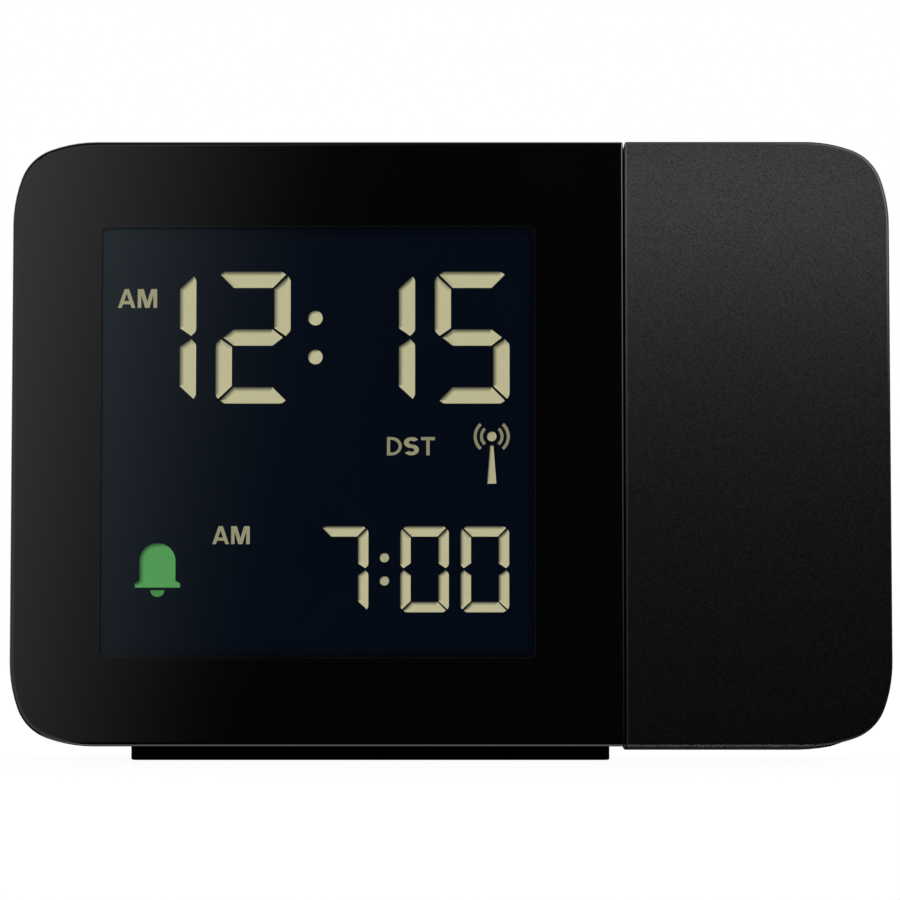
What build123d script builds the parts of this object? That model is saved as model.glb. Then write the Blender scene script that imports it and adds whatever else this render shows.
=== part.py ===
from build123d import *
import math
import os

# Radio-controlled projection alarm clock that stands on a table. The display body is on the
# left and the projector arm on the right, on a horizontal pivot. All sizes are in millimetres.
# X runs to the right as seen from the front, Y from the front to the back and Z up. The origin
# lies on the table, under the middle of the whole clock.

# Overall form
MAIN_WIDTH = 94.0
ARM_WIDTH = 40.7
SEAM_GAP = 0.3
BODY_HEIGHT = 93.0
FOOT_HEIGHT = 2.2
MAIN_DEPTH = 42.0
ARM_DEPTH = 24.0
ARM_BELLY = 0.8
ARM_BELLY_END = 2.5
CORNER_RADIUS = 7.5
CORNER_EASE_RADIUS = 21.0
CORNER_EASE_ANGLE = 20.0
EDGE_RADIUS = 0.7
SEAM_EDGE_RADIUS = 0.3
REAR_RADIUS = 6.0

# Walls, fits and cutting
WALL = 2.0
SEAM_WALL = 2.5
FIT = 0.1
RUNNING_GAP = 0.05
KEY_GAP = 0.2
LIP_DEPTH = 1.0
LIP_THICKNESS = 1.0
REAR_COVER_DEPTH = 8.0
PILOT_SPARE = 1.0
OVERRUN = 1.0

# Places that the overall form gives
WIDTH = MAIN_WIDTH + SEAM_GAP + ARM_WIDTH
LEFT = -WIDTH / 2
RIGHT = WIDTH / 2
SEAM = LEFT + MAIN_WIDTH
ARM_LEFT = SEAM + SEAM_GAP
FRONT = -MAIN_DEPTH / 2
BACK = MAIN_DEPTH / 2
ARM_BACK = FRONT + ARM_DEPTH
BOTTOM = FOOT_HEIGHT
TOP = FOOT_HEIGHT + BODY_HEIGHT
MIDDLE_Z = (BOTTOM + TOP) / 2
SEAM_INSIDE = SEAM - SEAM_WALL
LEFT_INSIDE = LEFT + WALL
TOP_INSIDE = TOP - WALL
BOTTOM_INSIDE = BOTTOM + WALL
PARTING = BACK - REAR_COVER_DEPTH
REAR_INSIDE = BACK - WALL

# Front panel and display window
PANEL_THICKNESS = 2.6
WINDOW_LEFT_MARGIN = 13.5
WINDOW_SEAM_MARGIN = 13.5
WINDOW_TOP_MARGIN = 13.1
WINDOW_LOW_MARGIN = 13.4
WINDOW_CORNER_RADIUS = 1.2
WINDOW_JOINT = 0.2
WINDOW_FLANGE = 1.6
WINDOW_FLANGE_THICKNESS = 1.0
POST_RADIUS = 2.5
POST_INSET = 4.2
POST_RISE = 5.5
PANEL_BACK = FRONT + PANEL_THICKNESS
WINDOW_LEFT = LEFT + WINDOW_LEFT_MARGIN
WINDOW_RIGHT = SEAM - WINDOW_SEAM_MARGIN
WINDOW_TOP = TOP - WINDOW_TOP_MARGIN
WINDOW_LOW = BOTTOM + WINDOW_LOW_MARGIN
WINDOW_WIDTH = WINDOW_RIGHT - WINDOW_LEFT
WINDOW_HEIGHT = WINDOW_TOP - WINDOW_LOW
WINDOW_X = (WINDOW_LEFT + WINDOW_RIGHT) / 2
WINDOW_Z = (WINDOW_LOW + WINDOW_TOP) / 2
POST_PLACES = [
    (x, z)
    for x in (LEFT_INSIDE + POST_INSET, SEAM_INSIDE - POST_INSET)
    for z in (BOTTOM_INSIDE + POST_RISE, TOP_INSIDE - POST_RISE)
]

# Display stack, front to back
SEGMENT_THICKNESS = 0.15
STACK_GAP = 0.1
LCD_SIDE_MARGIN = 1.6
LCD_TOP_MARGIN = 1.35
LCD_LOW_MARGIN = 4.35
LCD_THICKNESS = 2.2
LEDGE_HEIGHT = 4.0
GUIDE_THICKNESS = 3.0
TRAY_GAP = 0.15
TRAY_WALL = 1.2
TRAY_FLOOR = 1.2
BOARD_THICKNESS = 1.6
LCD_FRONT = PANEL_BACK + STACK_GAP + SEGMENT_THICKNESS
LCD_BACK = LCD_FRONT + LCD_THICKNESS
GUIDE_FRONT = LCD_BACK + STACK_GAP
GUIDE_BACK = GUIDE_FRONT + GUIDE_THICKNESS
TRAY_BACK = GUIDE_BACK + TRAY_FLOOR
BOARD_BACK = TRAY_BACK + BOARD_THICKNESS
LCD_X = (WINDOW_LEFT - LCD_SIDE_MARGIN, WINDOW_RIGHT + LCD_SIDE_MARGIN)
LCD_Z = (WINDOW_LOW - LCD_LOW_MARGIN, WINDOW_TOP + LCD_TOP_MARGIN)

# Figures and signs on the display
DIGIT_COUNT = 4
DIGIT_HEIGHT = 20.38
DIGIT_STROKE = 2.49
DIGIT_GAP = 3.04
DIGIT_COLON_SPACE = 4.65
DIGIT_LEFT_MARGIN = 3.185
DIGIT_RIGHT_MARGIN = 3.985
DIGIT_DROP = 17.11
DOT_RADIUS = 1.115
DOT_SPACING = 6.02
ALARM_DIGIT_WIDTH = 7.435
ALARM_DIGIT_HEIGHT = 13.19
ALARM_DIGIT_STROKE = 1.575
ALARM_DIGIT_PITCH = 9.265
ALARM_COLON_SPACE = 3.085
ALARM_RIGHT_MARGIN = 4.075
ALARM_RISE = 13.675
ALARM_DOT_RADIUS = 0.715
ALARM_DOT_SPACING = 3.56
LIT_STROKES = {"0": "abcdef", "1": "bc", "2": "abged", "5": "afgcd", "7": "abc"}
MAIN_TIME = "12:15"
ALARM_TIME = "7:00"
# Ends of the strokes, in stroke widths from the figure's corner or from its middle
LEVEL_END_SHARES = ((0.53, 0.0), (0.295, 0.18), (1.105, 1.0))
UPRIGHT_END_SHARES = ((1.0, 1.08), (0.145, 0.285), (0.0, 0.53))
UPRIGHT_MIDDLE_SHARES = ((0.0, 0.41), (0.3, 0.105), (1.0, 0.585))
CENTRE_END_SHARES = ((1.12, -0.5), (0.475, 0.0), (1.12, 0.5))
# Rounding of the strokes' outer corners, in stroke widths, and the side of a stroke that is outer
OUTER_ROUND_SHARE = 0.34
OUTER_SIDES = {
    "a": (Axis.Y, -1), "b": (Axis.X, -1), "c": (Axis.X, -1),
    "d": (Axis.Y, 0), "e": (Axis.X, 0), "f": (Axis.X, 0),
}
BELL_LEFT_MARGIN = 8.94
BELL_RISE = 17.67
BELL_WIDTH = 5.52
BELL_HEIGHT = 6.8
BELL_RIM_WIDTH = 6.96
BELL_RIM_HEIGHT = 0.6
BELL_FLARE_HEIGHT = 0.45
CLAPPER_RADIUS = 1.08
CLAPPER_GAP = 0.36
MAST_RIGHT_MARGIN = 6.735
MAST_DROP = 32.38
MAST_BALL_RADIUS = 0.74
MAST_GAP = 0.64
MAST_HEIGHT = 5.9
MAST_TOP_WIDTH = 0.5
MAST_BASE_WIDTH = 1.41
WAVE_RADII = (1.59, 2.55)
WAVE_WIDTH = 0.48
WAVE_HALF_ANGLE = 48.0
DIGIT_ROOM = WINDOW_WIDTH - DIGIT_LEFT_MARGIN - DIGIT_RIGHT_MARGIN - DIGIT_COLON_SPACE
DIGIT_WIDTH = (DIGIT_ROOM - (DIGIT_COUNT - 1) * DIGIT_GAP) / DIGIT_COUNT
DIGIT_PITCH = DIGIT_WIDTH + DIGIT_GAP

# Backlight
LED_WIDTH = 2.0
LED_DEPTH = 2.6
LED_HEIGHT = 5.0
LED_COUNT = 3
LED_PITCH = 20.0
LED_SPACE = 2.6
STRIP_END_MARGIN = 5.0
STRIP_HEIGHT = 2.0
STRIP_RISE = 0.6
STRIP_SLOT_GAP = 0.2

# Main board and what stands on it
BOARD_MARGIN = 1.6
BOARD_Z_MARGIN = 2.6
BOARD_CORNER_RADIUS = 5.0
PIVOT_NOTCH = 10.5
BOARD_SCREW_RADIUS = 1.0
BOARD_SCREW_HOLE_RADIUS = 1.3
BOARD_SCREW_HEAD_RADIUS = 2.2
BOARD_SCREW_HEAD_HEIGHT = 1.6
BOARD_SCREW_LENGTH = 5.4
CHIP_SIZE = 14.0
CHIP_HEIGHT = 2.0
CRYSTAL_LENGTH = 8.0
CRYSTAL_RADIUS = 1.5
CRYSTAL_OFFSET = 14.0
CAPACITOR_RADIUS = 3.0
CAPACITOR_HEIGHT = 7.0
CAPACITOR_PITCH = 9.0
CAPACITOR_COUNT = 3
CAPACITOR_RISE = 14.0
PLUG_LENGTH = 4.5
PLUG_WIDTH = 6.0
PLUG_HEIGHT = 4.0
RECEIVER_WIDTH = 20.0
RECEIVER_HEIGHT = 14.0
RECEIVER_THICKNESS = 1.2
RECEIVER_STANDOFF = 6.0
RECEIVER_OFFSET_X = -23.0
RECEIVER_OFFSET_Z = 16.0
HEADER_WIDTH = 10.0
HEADER_HEIGHT = 2.5

# Radio antenna
ROD_RADIUS = 4.0
ROD_LENGTH = 50.0
ROD_Y = 4.0
ROD_DROP = 7.5
ROD_LEFT_MARGIN = 15.6
COIL_RADIUS = 5.4
COIL_LENGTH = 22.0
LUG_THICKNESS = 4.0
LUG_WALL = 1.8
LUG_INSET = 2.0

# Rear cover, its screws and the bosses that they hold
BOSS_RADIUS = 3.0
BOSS_LEFT_MARGIN = 9.0
BOSS_SEAM_MARGIN = 8.8
BOSS_Z_MARGIN = 14.0
BOSS_CLEARANCE = 4.0
BOSS_RIB = 1.6
COVER_SCREW_RADIUS = 1.2
COVER_SCREW_HOLE_RADIUS = 1.5
COVER_SCREW_HEAD_RADIUS = 2.3
COVER_SCREW_HEAD_HEIGHT = 1.6
COVER_SCREW_SINK = 4.0
COVER_SCREW_LENGTH = 10.0
COVER_COUNTERBORE_RADIUS = 2.6
SCREW_SLOT_WIDTH = 0.7
SCREW_SLOT_DEPTH = 0.7
BOSS_END = PARTING - LIP_DEPTH - FIT
BOSS_START = BOARD_BACK + BOSS_CLEARANCE
BOSS_PLACES = [
    (x, z)
    for x in (LEFT + BOSS_LEFT_MARGIN, SEAM - BOSS_SEAM_MARGIN)
    for z in (BOTTOM + BOSS_Z_MARGIN, TOP - BOSS_Z_MARGIN)
]

# Setting keys in a shallow trough on the rear cover
KEY_NAMES = ("time_key", "alarm_key", "minus_key", "plus_key", "flip_key")
KEY_LENGTH = 9.0
KEY_HEIGHT = 5.0
KEY_PITCH = 12.4
KEY_DROP = 29.2
KEY_SINK = 0.1
KEY_EDGE_RADIUS = 0.4
KEY_FLANGE = 0.9
KEY_FLANGE_THICKNESS = 1.0
KEY_STEM_RADIUS = 1.5
KEY_TRAVEL = 0.8
TROUGH_DEPTH = 0.6
TROUGH_MARGIN = 2.2
PRESS_GAP = 0.1
KEY_Z = TOP - KEY_DROP
KEY_PLACES = [WINDOW_X + (i - (len(KEY_NAMES) - 1) / 2) * KEY_PITCH for i in range(len(KEY_NAMES))]

# Key board behind the rear cover
KEY_BOARD_SETBACK = 11.0
KEY_BOARD_WIDTH = 66.0
KEY_BOARD_RISE = 7.0
KEY_BOARD_FALL = 15.8
TACT_SIZE = 6.0
TACT_HEIGHT = 3.6
TACT_STEM_RADIUS = 1.7
TACT_STEM_HEIGHT = 1.0
KEY_POST_RADIUS = 2.4
KEY_POST_INSET = 3.2
KEY_POST_FALL = 11.4
KEY_SCREW_RADIUS = 0.9
KEY_SCREW_HEAD_RADIUS = 1.9
KEY_SCREW_HEAD_HEIGHT = 1.4
KEY_SCREW_LENGTH = 5.0
KEY_BOARD_BACK = BACK - KEY_BOARD_SETBACK
KEY_BOARD_FRONT = KEY_BOARD_BACK - BOARD_THICKNESS
TACT_TOP = KEY_BOARD_BACK + TACT_HEIGHT + TACT_STEM_HEIGHT
KEY_POST_Z = KEY_Z - KEY_POST_FALL
KEY_POST_PLACES = [
    WINDOW_X + side * (KEY_BOARD_WIDTH / 2 - KEY_POST_INSET) for side in (-1, 1)
]

# Alarm slide switch below the keys
SWITCH_FALL = 11.4
SWITCH_KNOB_LENGTH = 6.0
SWITCH_KNOB_HEIGHT = 4.4
SWITCH_TRAVEL = 3.0
SWITCH_FLANGE = 1.6
SWITCH_FLANGE_THICKNESS = 0.9
SWITCH_CAN_LENGTH = 11.0
SWITCH_CAN_HEIGHT = 5.0
SWITCH_CAN_DEPTH = 3.6
SWITCH_RIB_COUNT = 3
SWITCH_RIB_PITCH = 1.5
SWITCH_RIB_WIDTH = 0.5
SWITCH_RIB_DEPTH = 0.35
SWITCH_TROUGH_MARGIN = 1.6
SWITCH_Z = KEY_Z - SWITCH_FALL

# Snooze bar in the top
SNOOZE_LENGTH = 60.0
SNOOZE_DEPTH = 11.0
SNOOZE_CORNER_RADIUS = 2.0
SNOOZE_SETBACK = 11.0
SNOOZE_SINK = 0.1
SNOOZE_FLANGE = 1.4
SNOOZE_FLANGE_THICKNESS = 1.2
SNOOZE_TRAVEL = 0.8
SNOOZE_RIB_LENGTH = 8.0
SNOOZE_RIB_DEPTH = 2.4
SNOOZE_EDGE_RADIUS = 0.3
SNOOZE_SWITCH_WIDTH = 6.0
SNOOZE_SWITCH_DEPTH = 3.5
SNOOZE_SWITCH_HEIGHT = 4.0
SNOOZE_STEM_RADIUS = 1.1
SNOOZE_STEM_HEIGHT = 1.0
SNOOZE_SWITCH_DROP = 1.4
SNOOZE_Y = FRONT + SNOOZE_SETBACK
BOARD_TOP = TOP_INSIDE - BOARD_Z_MARGIN
SNOOZE_SWITCH_TOP = BOARD_TOP - SNOOZE_SWITCH_DROP

# Battery bay, cells and door
CELL_RADIUS = 5.25
CELL_LENGTH = 43.7
CELL_NUB_RADIUS = 1.9
CELL_NUB_LENGTH = 0.8
CELL_PITCH = 11.2
CELL_GAP = 0.3
BAY_WALL = 1.3
BAY_LEFT_MARGIN = 14.6
BAY_RISE = 17.3
BAY_FLANGE = 2.0
BAY_FLANGE_THICKNESS = 1.2
CONTACT_SIZE = 8.4
CONTACT_THICKNESS = 0.4
CONTACT_BUMP_RADIUS = 2.2
CONTACT_BUMP_LENGTH = 1.6
DOOR_LEDGE = 1.3
DOOR_GAP = 0.3
DOOR_SEAT_GAP = 0.1
DOOR_PIN_RADIUS = 0.55
DOOR_PIN_LENGTH = 1.4
DOOR_NOTCH_RADIUS = 5.0
DOOR_NOTCH_DEPTH = 1.0
BAY_LENGTH = CELL_LENGTH + CELL_NUB_LENGTH + CONTACT_BUMP_LENGTH + 2 * CONTACT_THICKNESS
BAY_X = LEFT + BAY_LEFT_MARGIN + BAY_LENGTH / 2
BAY_Z = BOTTOM_INSIDE + BAY_RISE
BAY_HEIGHT = CELL_PITCH + 2 * CELL_RADIUS + 2 * CELL_GAP
BAY_DEPTH = 2 * CELL_RADIUS + 2 * CELL_GAP
BAY_FLOOR = REAR_INSIDE - BAY_DEPTH
CELL_Y = BAY_FLOOR + CELL_GAP + CELL_RADIUS
DOOR_LENGTH = BAY_LENGTH + 2 * DOOR_LEDGE
DOOR_HEIGHT = BAY_HEIGHT + 2 * DOOR_LEDGE
DOOR_INSIDE = REAR_INSIDE + DOOR_SEAT_GAP
DOOR_THICKNESS = BACK - DOOR_INSIDE
DOOR_LOW = BAY_Z - DOOR_HEIGHT / 2
DOOR_HIGH = BAY_Z + DOOR_HEIGHT / 2
DOOR_PIVOT_Y = (DOOR_INSIDE + BACK) / 2
DOOR_PIVOT_Z = DOOR_LOW + DOOR_THICKNESS / 2

# Power inlet
INLET_WIDTH = 9.0
INLET_HEIGHT = 11.0
INLET_DEPTH = 12.0
INLET_NOSE_RADIUS = 4.2
INLET_NOSE_SINK = 0.5
INLET_BORE_RADIUS = 2.9
INLET_BORE_DEPTH = 9.5
INLET_PIN_RADIUS = 1.0
INLET_PIN_SINK = 2.0
INLET_BAY_GAP = 1.2
INLET_RISE = 6.5

# Sounder
SOUNDER_RADIUS = 6.4
SOUNDER_DEPTH = 4.5
SOUNDER_DROP = 13.5
SOUND_HOLE_RADIUS = 0.7
SOUND_HOLE_RING_RADIUS = 3.0
SOUND_HOLE_COUNT = 6
SOUNDER_Z = TOP - SOUNDER_DROP

# Foot
FOOT_LEFT_MARGIN = 18.15
FOOT_SEAM_MARGIN = 2.05
FOOT_FRONT_MARGIN = 2.4
FOOT_BACK_MARGIN = 2.0
FOOT_CORNER_RADIUS = 1.5
FOOT_RECESS = 0.6
FOOT_EDGE_RADIUS = 0.3

# Pivot between the body and the arm
PIVOT_SETBACK = 12.0
HUB_RADIUS = 6.0
HUB_BORE_RADIUS = 3.75
HUB_FLANGE_RADIUS = 9.3
HUB_FLANGE_THICKNESS = 2.0
HUB_TAIL = 0.8
HUB_SCREW_COUNT = 3
HUB_SCREW_CIRCLE_RADIUS = 7.7
HUB_SCREW_RADIUS = 0.7
HUB_SCREW_HEAD_RADIUS = 1.3
HUB_SCREW_HEAD_HEIGHT = 0.9
HUB_SCREW_LENGTH = 3.6
BUSH_WALL = 1.1
BUSH_REACH = 3.0
BUSH_FLANGE_RADIUS = 8.2
BUSH_FLANGE_THICKNESS = 1.2
WASHER_RADIUS = 7.4
WASHER_THICKNESS = 0.6
CLIP_RADIUS = 7.6
CLIP_THICKNESS = 1.0
CLIP_GROOVE = 0.8
CLIP_MOUTH = 5.0
STOP_LUG_RADIUS = 9.0
STOP_LUG_HALF_ANGLE = 10.0
STOP_INNER_RADIUS = 7.9
STOP_CLEARANCE_ANGLE = 2.0
ARM_SWING = 90.0
SIDE_PLATE_THICKNESS = 2.2
PIVOT_Y = FRONT + PIVOT_SETBACK
PIVOT_Z = MIDDLE_Z
BUSH_BORE_RADIUS = HUB_RADIUS + RUNNING_GAP
BUSH_RADIUS = BUSH_BORE_RADIUS + BUSH_WALL
BUSH_END = SEAM_INSIDE - BUSH_REACH
WASHER_END = BUSH_END - WASHER_THICKNESS
CLIP_END = WASHER_END - CLIP_THICKNESS
HUB_END = CLIP_END - HUB_TAIL
GROOVE_RADIUS = HUB_RADIUS - CLIP_GROOVE
PLATE_INSIDE = ARM_LEFT + SIDE_PLATE_THICKNESS

# Arm shell
ARM_BOSS_RADIUS = 3.0
ARM_BOSS_RISES = (8.0, 26.0)
ARM_SCREW_RADIUS = 1.1
ARM_SCREW_HEAD_RADIUS = 2.1
ARM_SCREW_SINK = 1.3
ARM_SCREW_LENGTH = 9.0
PLATE_STOP = 2.0
PLATE_STOP_LENGTH = 3.0
ARM_INSIDE = RIGHT - WALL
ARM_FRONT_INSIDE = FRONT + WALL
ARM_BACK_INSIDE = ARM_BACK - WALL

# Projector, along a vertical axis in the arm
TUBE_RADIUS = 8.4
TUBE_BORE_RADIUS = 6.4
TUBE_LOW_RISE = 3.8
FLANGE_SIZE = 16.8
FLANGE_HEIGHT = 4.0
SHOULDER_RADIUS = 4.2
SHOULDER_HEIGHT = 2.0
CONDENSER_RISE = 6.0
CONDENSER_RADIUS = 6.0
CONDENSER_EDGE = 1.4
CONDENSER_BULGE = 1.2
GATE_RISE = 14.0
GATE_SIZE = 8.4
GATE_THICKNESS = 1.4
TAB_LENGTH = 6.0
TAB_HEIGHT = 8.0
TAB_THICKNESS = 2.4
TAB_RISE = 22.0
TAB_BOSS_RADIUS = 2.6
TAB_BOSS_LENGTH = 3.2
TAB_SCREW_RADIUS = 0.9
TAB_SCREW_HEAD_RADIUS = 1.9
TAB_SCREW_HEAD_HEIGHT = 1.3
TAB_SCREW_LENGTH = 4.6
PROJECTOR_BOARD_SIZE = 16.8
PROJECTOR_BOARD_THICKNESS = 1.2
PROJECTOR_LED_SIZE = 5.0
PROJECTOR_LED_HEIGHT = 2.0
PROJECTOR_LED_BASE = 1.0
PROJECTOR_SCREW_INSET = 1.7
PROJECTOR_SCREW_RADIUS = 0.6
PROJECTOR_SCREW_HEAD_RADIUS = 1.2
PROJECTOR_SCREW_HEAD_HEIGHT = 0.9
PROJECTOR_SCREW_LENGTH = 4.0
RING_RADIUS = 8.4
RING_SINK = 0.4
RING_FLANGE_RADIUS = 9.5
RING_FLANGE_HEIGHT = 3.0
RING_SHAKE = 0.2
RING_OPENING_GAP = 0.3
RING_NOTCH_COUNT = 20
RING_NOTCH_RADIUS = 0.55
RING_CHAMFER = 0.4
CELL_BARREL_RADIUS = 6.15
LENS_BORE_RADIUS = 4.6
LENS_RADIUS = 5.4
LENS_EDGE = 1.6
LENS_BULGE = 1.0
LENS_SINK = 1.6
BARREL_SINK = 2.2
BARREL_LENGTH = 15.0
FOCUS_TRAVEL = 1.5
BARREL_KEY_WIDTH = 2.0
BARREL_KEY_LENGTH = 4.0
BARREL_KEY_REACH = 1.2
BARREL_KEY_GAP = 0.25
LENS_X = (ARM_LEFT + RIGHT) / 2
LENS_Y = (FRONT + ARM_BACK) / 2
TUBE_LOW = PIVOT_Z + TUBE_LOW_RISE
RING_TOP = TOP - RING_SINK
RING_FLANGE_TOP = TOP_INSIDE - RING_SHAKE
RING_LOW = RING_FLANGE_TOP - RING_FLANGE_HEIGHT
TUBE_TOP = RING_LOW - RING_SHAKE
BARREL_TOP = TOP - BARREL_SINK
BARREL_LOW = BARREL_TOP - BARREL_LENGTH
LENS_SEAT = BARREL_TOP - LENS_SINK - LENS_EDGE
PROJECTOR_BOARD_LOW = TUBE_LOW - PROJECTOR_BOARD_THICKNESS

# Lead between the main board and the projector, along the pivot axis
LEAD_RADIUS = 0.9
LEAD_PLUG_X = SEAM_INSIDE - PIVOT_NOTCH - PLUG_LENGTH
LEAD_PLUG_ARM_X = LENS_X - PROJECTOR_BOARD_SIZE / 2 + PLUG_LENGTH
LEAD_MEET = SEAM + SEAM_GAP / 2


# Shapes that many pieces use
def block(x, y, z):
    """Box between the low and high places given for each axis."""
    middle = [sum(pair) / 2 for pair in (x, y, z)]
    sides = [pair[1] - pair[0] for pair in (x, y, z)]
    return Pos(*middle) * Box(*sides)


def rod(radius, start, end):
    """Round bar from one point to another."""
    axis = Vector(*end) - Vector(*start)
    return extrude(Plane(origin=start, z_dir=axis) * Circle(radius), axis.length)


def tube(radius, bore_radius, start, end):
    """Round pipe from one point to another."""
    axis = Vector(*end) - Vector(*start)
    section = Circle(radius) - Circle(bore_radius)
    return extrude(Plane(origin=start, z_dir=axis) * section, axis.length)


def slab(face, y_front, y_back):
    """Face drawn in X and Z, made solid from y_front to y_back."""
    return extrude(Plane.XZ.offset(-y_back) * face, y_back - y_front, dir=(0, -1, 0))


def plate(face, z_low, z_high):
    """Face drawn in X and Y, made solid from z_low to z_high."""
    return extrude(Pos(0, 0, z_low) * face, z_high - z_low, dir=(0, 0, 1))


def lens(radius, edge, bulge, base):
    """Lens on a vertical axis, flat below and domed above a round edge."""
    ball_radius = (radius**2 + bulge**2) / (2 * bulge)
    x, y, z = base
    top = z + edge + bulge
    return rod(radius, base, (x, y, top)) & Pos(x, y, top - ball_radius) * Sphere(ball_radius)


def screw(radius, head_radius, head_height, length, head_seat, direction):
    """Slotted screw whose head sits at head_seat; its shank runs along direction."""
    seat, way = Vector(*head_seat), Vector(*direction).normalized()
    head_top = seat - way * head_height
    body = rod(radius, seat, seat + way * length) + rod(head_radius, head_top, seat)
    slot = Box(2 * head_radius + OVERRUN, SCREW_SLOT_WIDTH, SCREW_SLOT_DEPTH)
    slot_centre = head_top + way * (SCREW_SLOT_DEPTH / 2)
    return body - Plane(origin=slot_centre, z_dir=way) * slot


def corner_reach(ease, core):
    """How far an eased corner runs along each of its two sides."""
    angle = math.radians(CORNER_EASE_ANGLE)
    sine, cosine = math.sin(angle), math.cos(angle)
    return ease * (sine + 1 - cosine) + core * (cosine - sine)


def outline(seam_x, end_x, inset=0.0):
    """Front outline of one half of the clock: square at the seam, eased at its outer end."""
    side = math.copysign(1, end_x - seam_x)
    end = end_x - side * inset
    low, high = BOTTOM + inset, TOP - inset
    ease, core = CORNER_EASE_RADIUS - inset, CORNER_RADIUS - inset
    reach = corner_reach(ease, core)
    arcs = (
        (ease, CORNER_EASE_ANGLE),
        (core, 90 - 2 * CORNER_EASE_ANGLE),
        (ease, CORNER_EASE_ANGLE),
    )
    path = [Line((seam_x, low), (end - side * reach, low))]
    for radius, angle in arcs:
        path.append(JernArc(path[-1] @ 1, path[-1] % 1, radius, side * angle))
    path.append(Line(path[-1] @ 1, (end, high - reach)))
    for radius, angle in arcs:
        path.append(JernArc(path[-1] @ 1, path[-1] % 1, radius, side * angle))
    path.append(Line(path[-1] @ 1, (seam_x, high)))
    path.append(Line((seam_x, high), (seam_x, low)))
    return make_face(path)


def inner_outline(inset):
    """Outline inside the display body's walls, a further inset inwards all round."""
    return outline(SEAM_INSIDE - inset, LEFT, WALL + inset)


def lip(y_front, y_back):
    """Ridge that locates a cover inside the mouth of the main shell."""
    ridge = inner_outline(FIT) - inner_outline(FIT + LIP_THICKNESS)
    return slab(ridge, y_front, y_back)


def window_face(grow=0.0):
    """Window outline, grown by an even margin."""
    face = RectangleRounded(
        WINDOW_WIDTH + 2 * grow, WINDOW_HEIGHT + 2 * grow, WINDOW_CORNER_RADIUS + grow
    )
    return Pos(WINDOW_X, WINDOW_Z) * face


# Display body, front to back
def make_front_panel():
    panel = slab(outline(SEAM, LEFT), FRONT, PANEL_BACK)
    rim = panel.faces().sort_by(Axis.Y)[0].edges()
    seam_rim = rim.filter_by_position(Axis.X, SEAM - FIT, SEAM + FIT)
    panel = fillet([edge for edge in rim if edge not in seam_rim], EDGE_RADIUS)
    seam_edges = panel.faces().sort_by(Axis.X)[-1].edges().sort_by(Axis.Y)[:-1]
    panel = fillet(seam_edges, SEAM_EDGE_RADIUS)
    flange_front = PANEL_BACK - WINDOW_FLANGE_THICKNESS
    panel -= slab(window_face(), FRONT - OVERRUN, PANEL_BACK + OVERRUN)
    panel -= slab(window_face(WINDOW_FLANGE), flange_front, PANEL_BACK + OVERRUN)
    panel += lip(PANEL_BACK, PANEL_BACK + LIP_DEPTH)
    pilot = BOARD_SCREW_RADIUS + RUNNING_GAP
    pilot_front = BOARD_BACK - BOARD_SCREW_LENGTH - PILOT_SPARE
    for x, z in POST_PLACES:
        panel += rod(POST_RADIUS, (x, PANEL_BACK, z), (x, TRAY_BACK, z))
        panel -= rod(pilot, (x, pilot_front, z), (x, TRAY_BACK + OVERRUN, z))
    return panel


def make_display_window():
    flange_front = PANEL_BACK - WINDOW_FLANGE_THICKNESS
    pane = slab(window_face(-WINDOW_JOINT), FRONT, PANEL_BACK)
    return pane + slab(window_face(WINDOW_FLANGE - FIT), flange_front + RUNNING_GAP, PANEL_BACK)


def make_lcd_glass():
    return block(LCD_X, (LCD_FRONT, LCD_BACK), LCD_Z)


def stroke_points(name, half_width, half_height, stroke):
    """Corners of one stroke of a figure that is centred on the origin."""
    across = -1 if name in "fe" else 1
    up = -1 if name in "dce" else 1
    if name in "ad":
        left = [(-half_width + a * stroke, up * (half_height - b * stroke)) for a, b in LEVEL_END_SHARES]
        return left + [(-x, y) for x, y in reversed(left)]
    if name == "g":
        left = [(-half_width + a * stroke, b * stroke) for a, b in CENTRE_END_SHARES]
        return left + [(-x, y) for x, y in reversed(left)]
    outer = [(half_width - a * stroke, half_height - b * stroke) for a, b in UPRIGHT_END_SHARES]
    inner = [(half_width - a * stroke, b * stroke) for a, b in UPRIGHT_MIDDLE_SHARES]
    return [(across * x, up * y) for x, y in outer + inner]


def stroke_face(name, half_width, half_height, stroke):
    """One stroke of a figure, with its two outer corners rounded."""
    face = Polygon(*stroke_points(name, half_width, half_height, stroke), align=None)
    if name not in OUTER_SIDES:
        return face
    axis, end = OUTER_SIDES[name]
    return fillet(face.vertices().group_by(axis)[end], OUTER_ROUND_SHARE * stroke)


def time_faces(text, right, middle, width, height, stroke, pitch, colon_space, dot_radius, dot_spacing):
    """Figures of a time, set from right to left, with the colon's two dots."""
    faces = []
    x = right
    for sign in reversed(text):
        if sign == ":":
            dot_x = x + pitch - width - (pitch - width + colon_space) / 2
            faces += [Pos(dot_x, middle + side * dot_spacing / 2) * Circle(dot_radius) for side in (-1, 1)]
            x -= colon_space
            continue
        for name in LIT_STROKES[sign]:
            faces.append(Pos(x - width / 2, middle) * stroke_face(name, width / 2, height / 2, stroke))
        x -= pitch
    return faces


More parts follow.
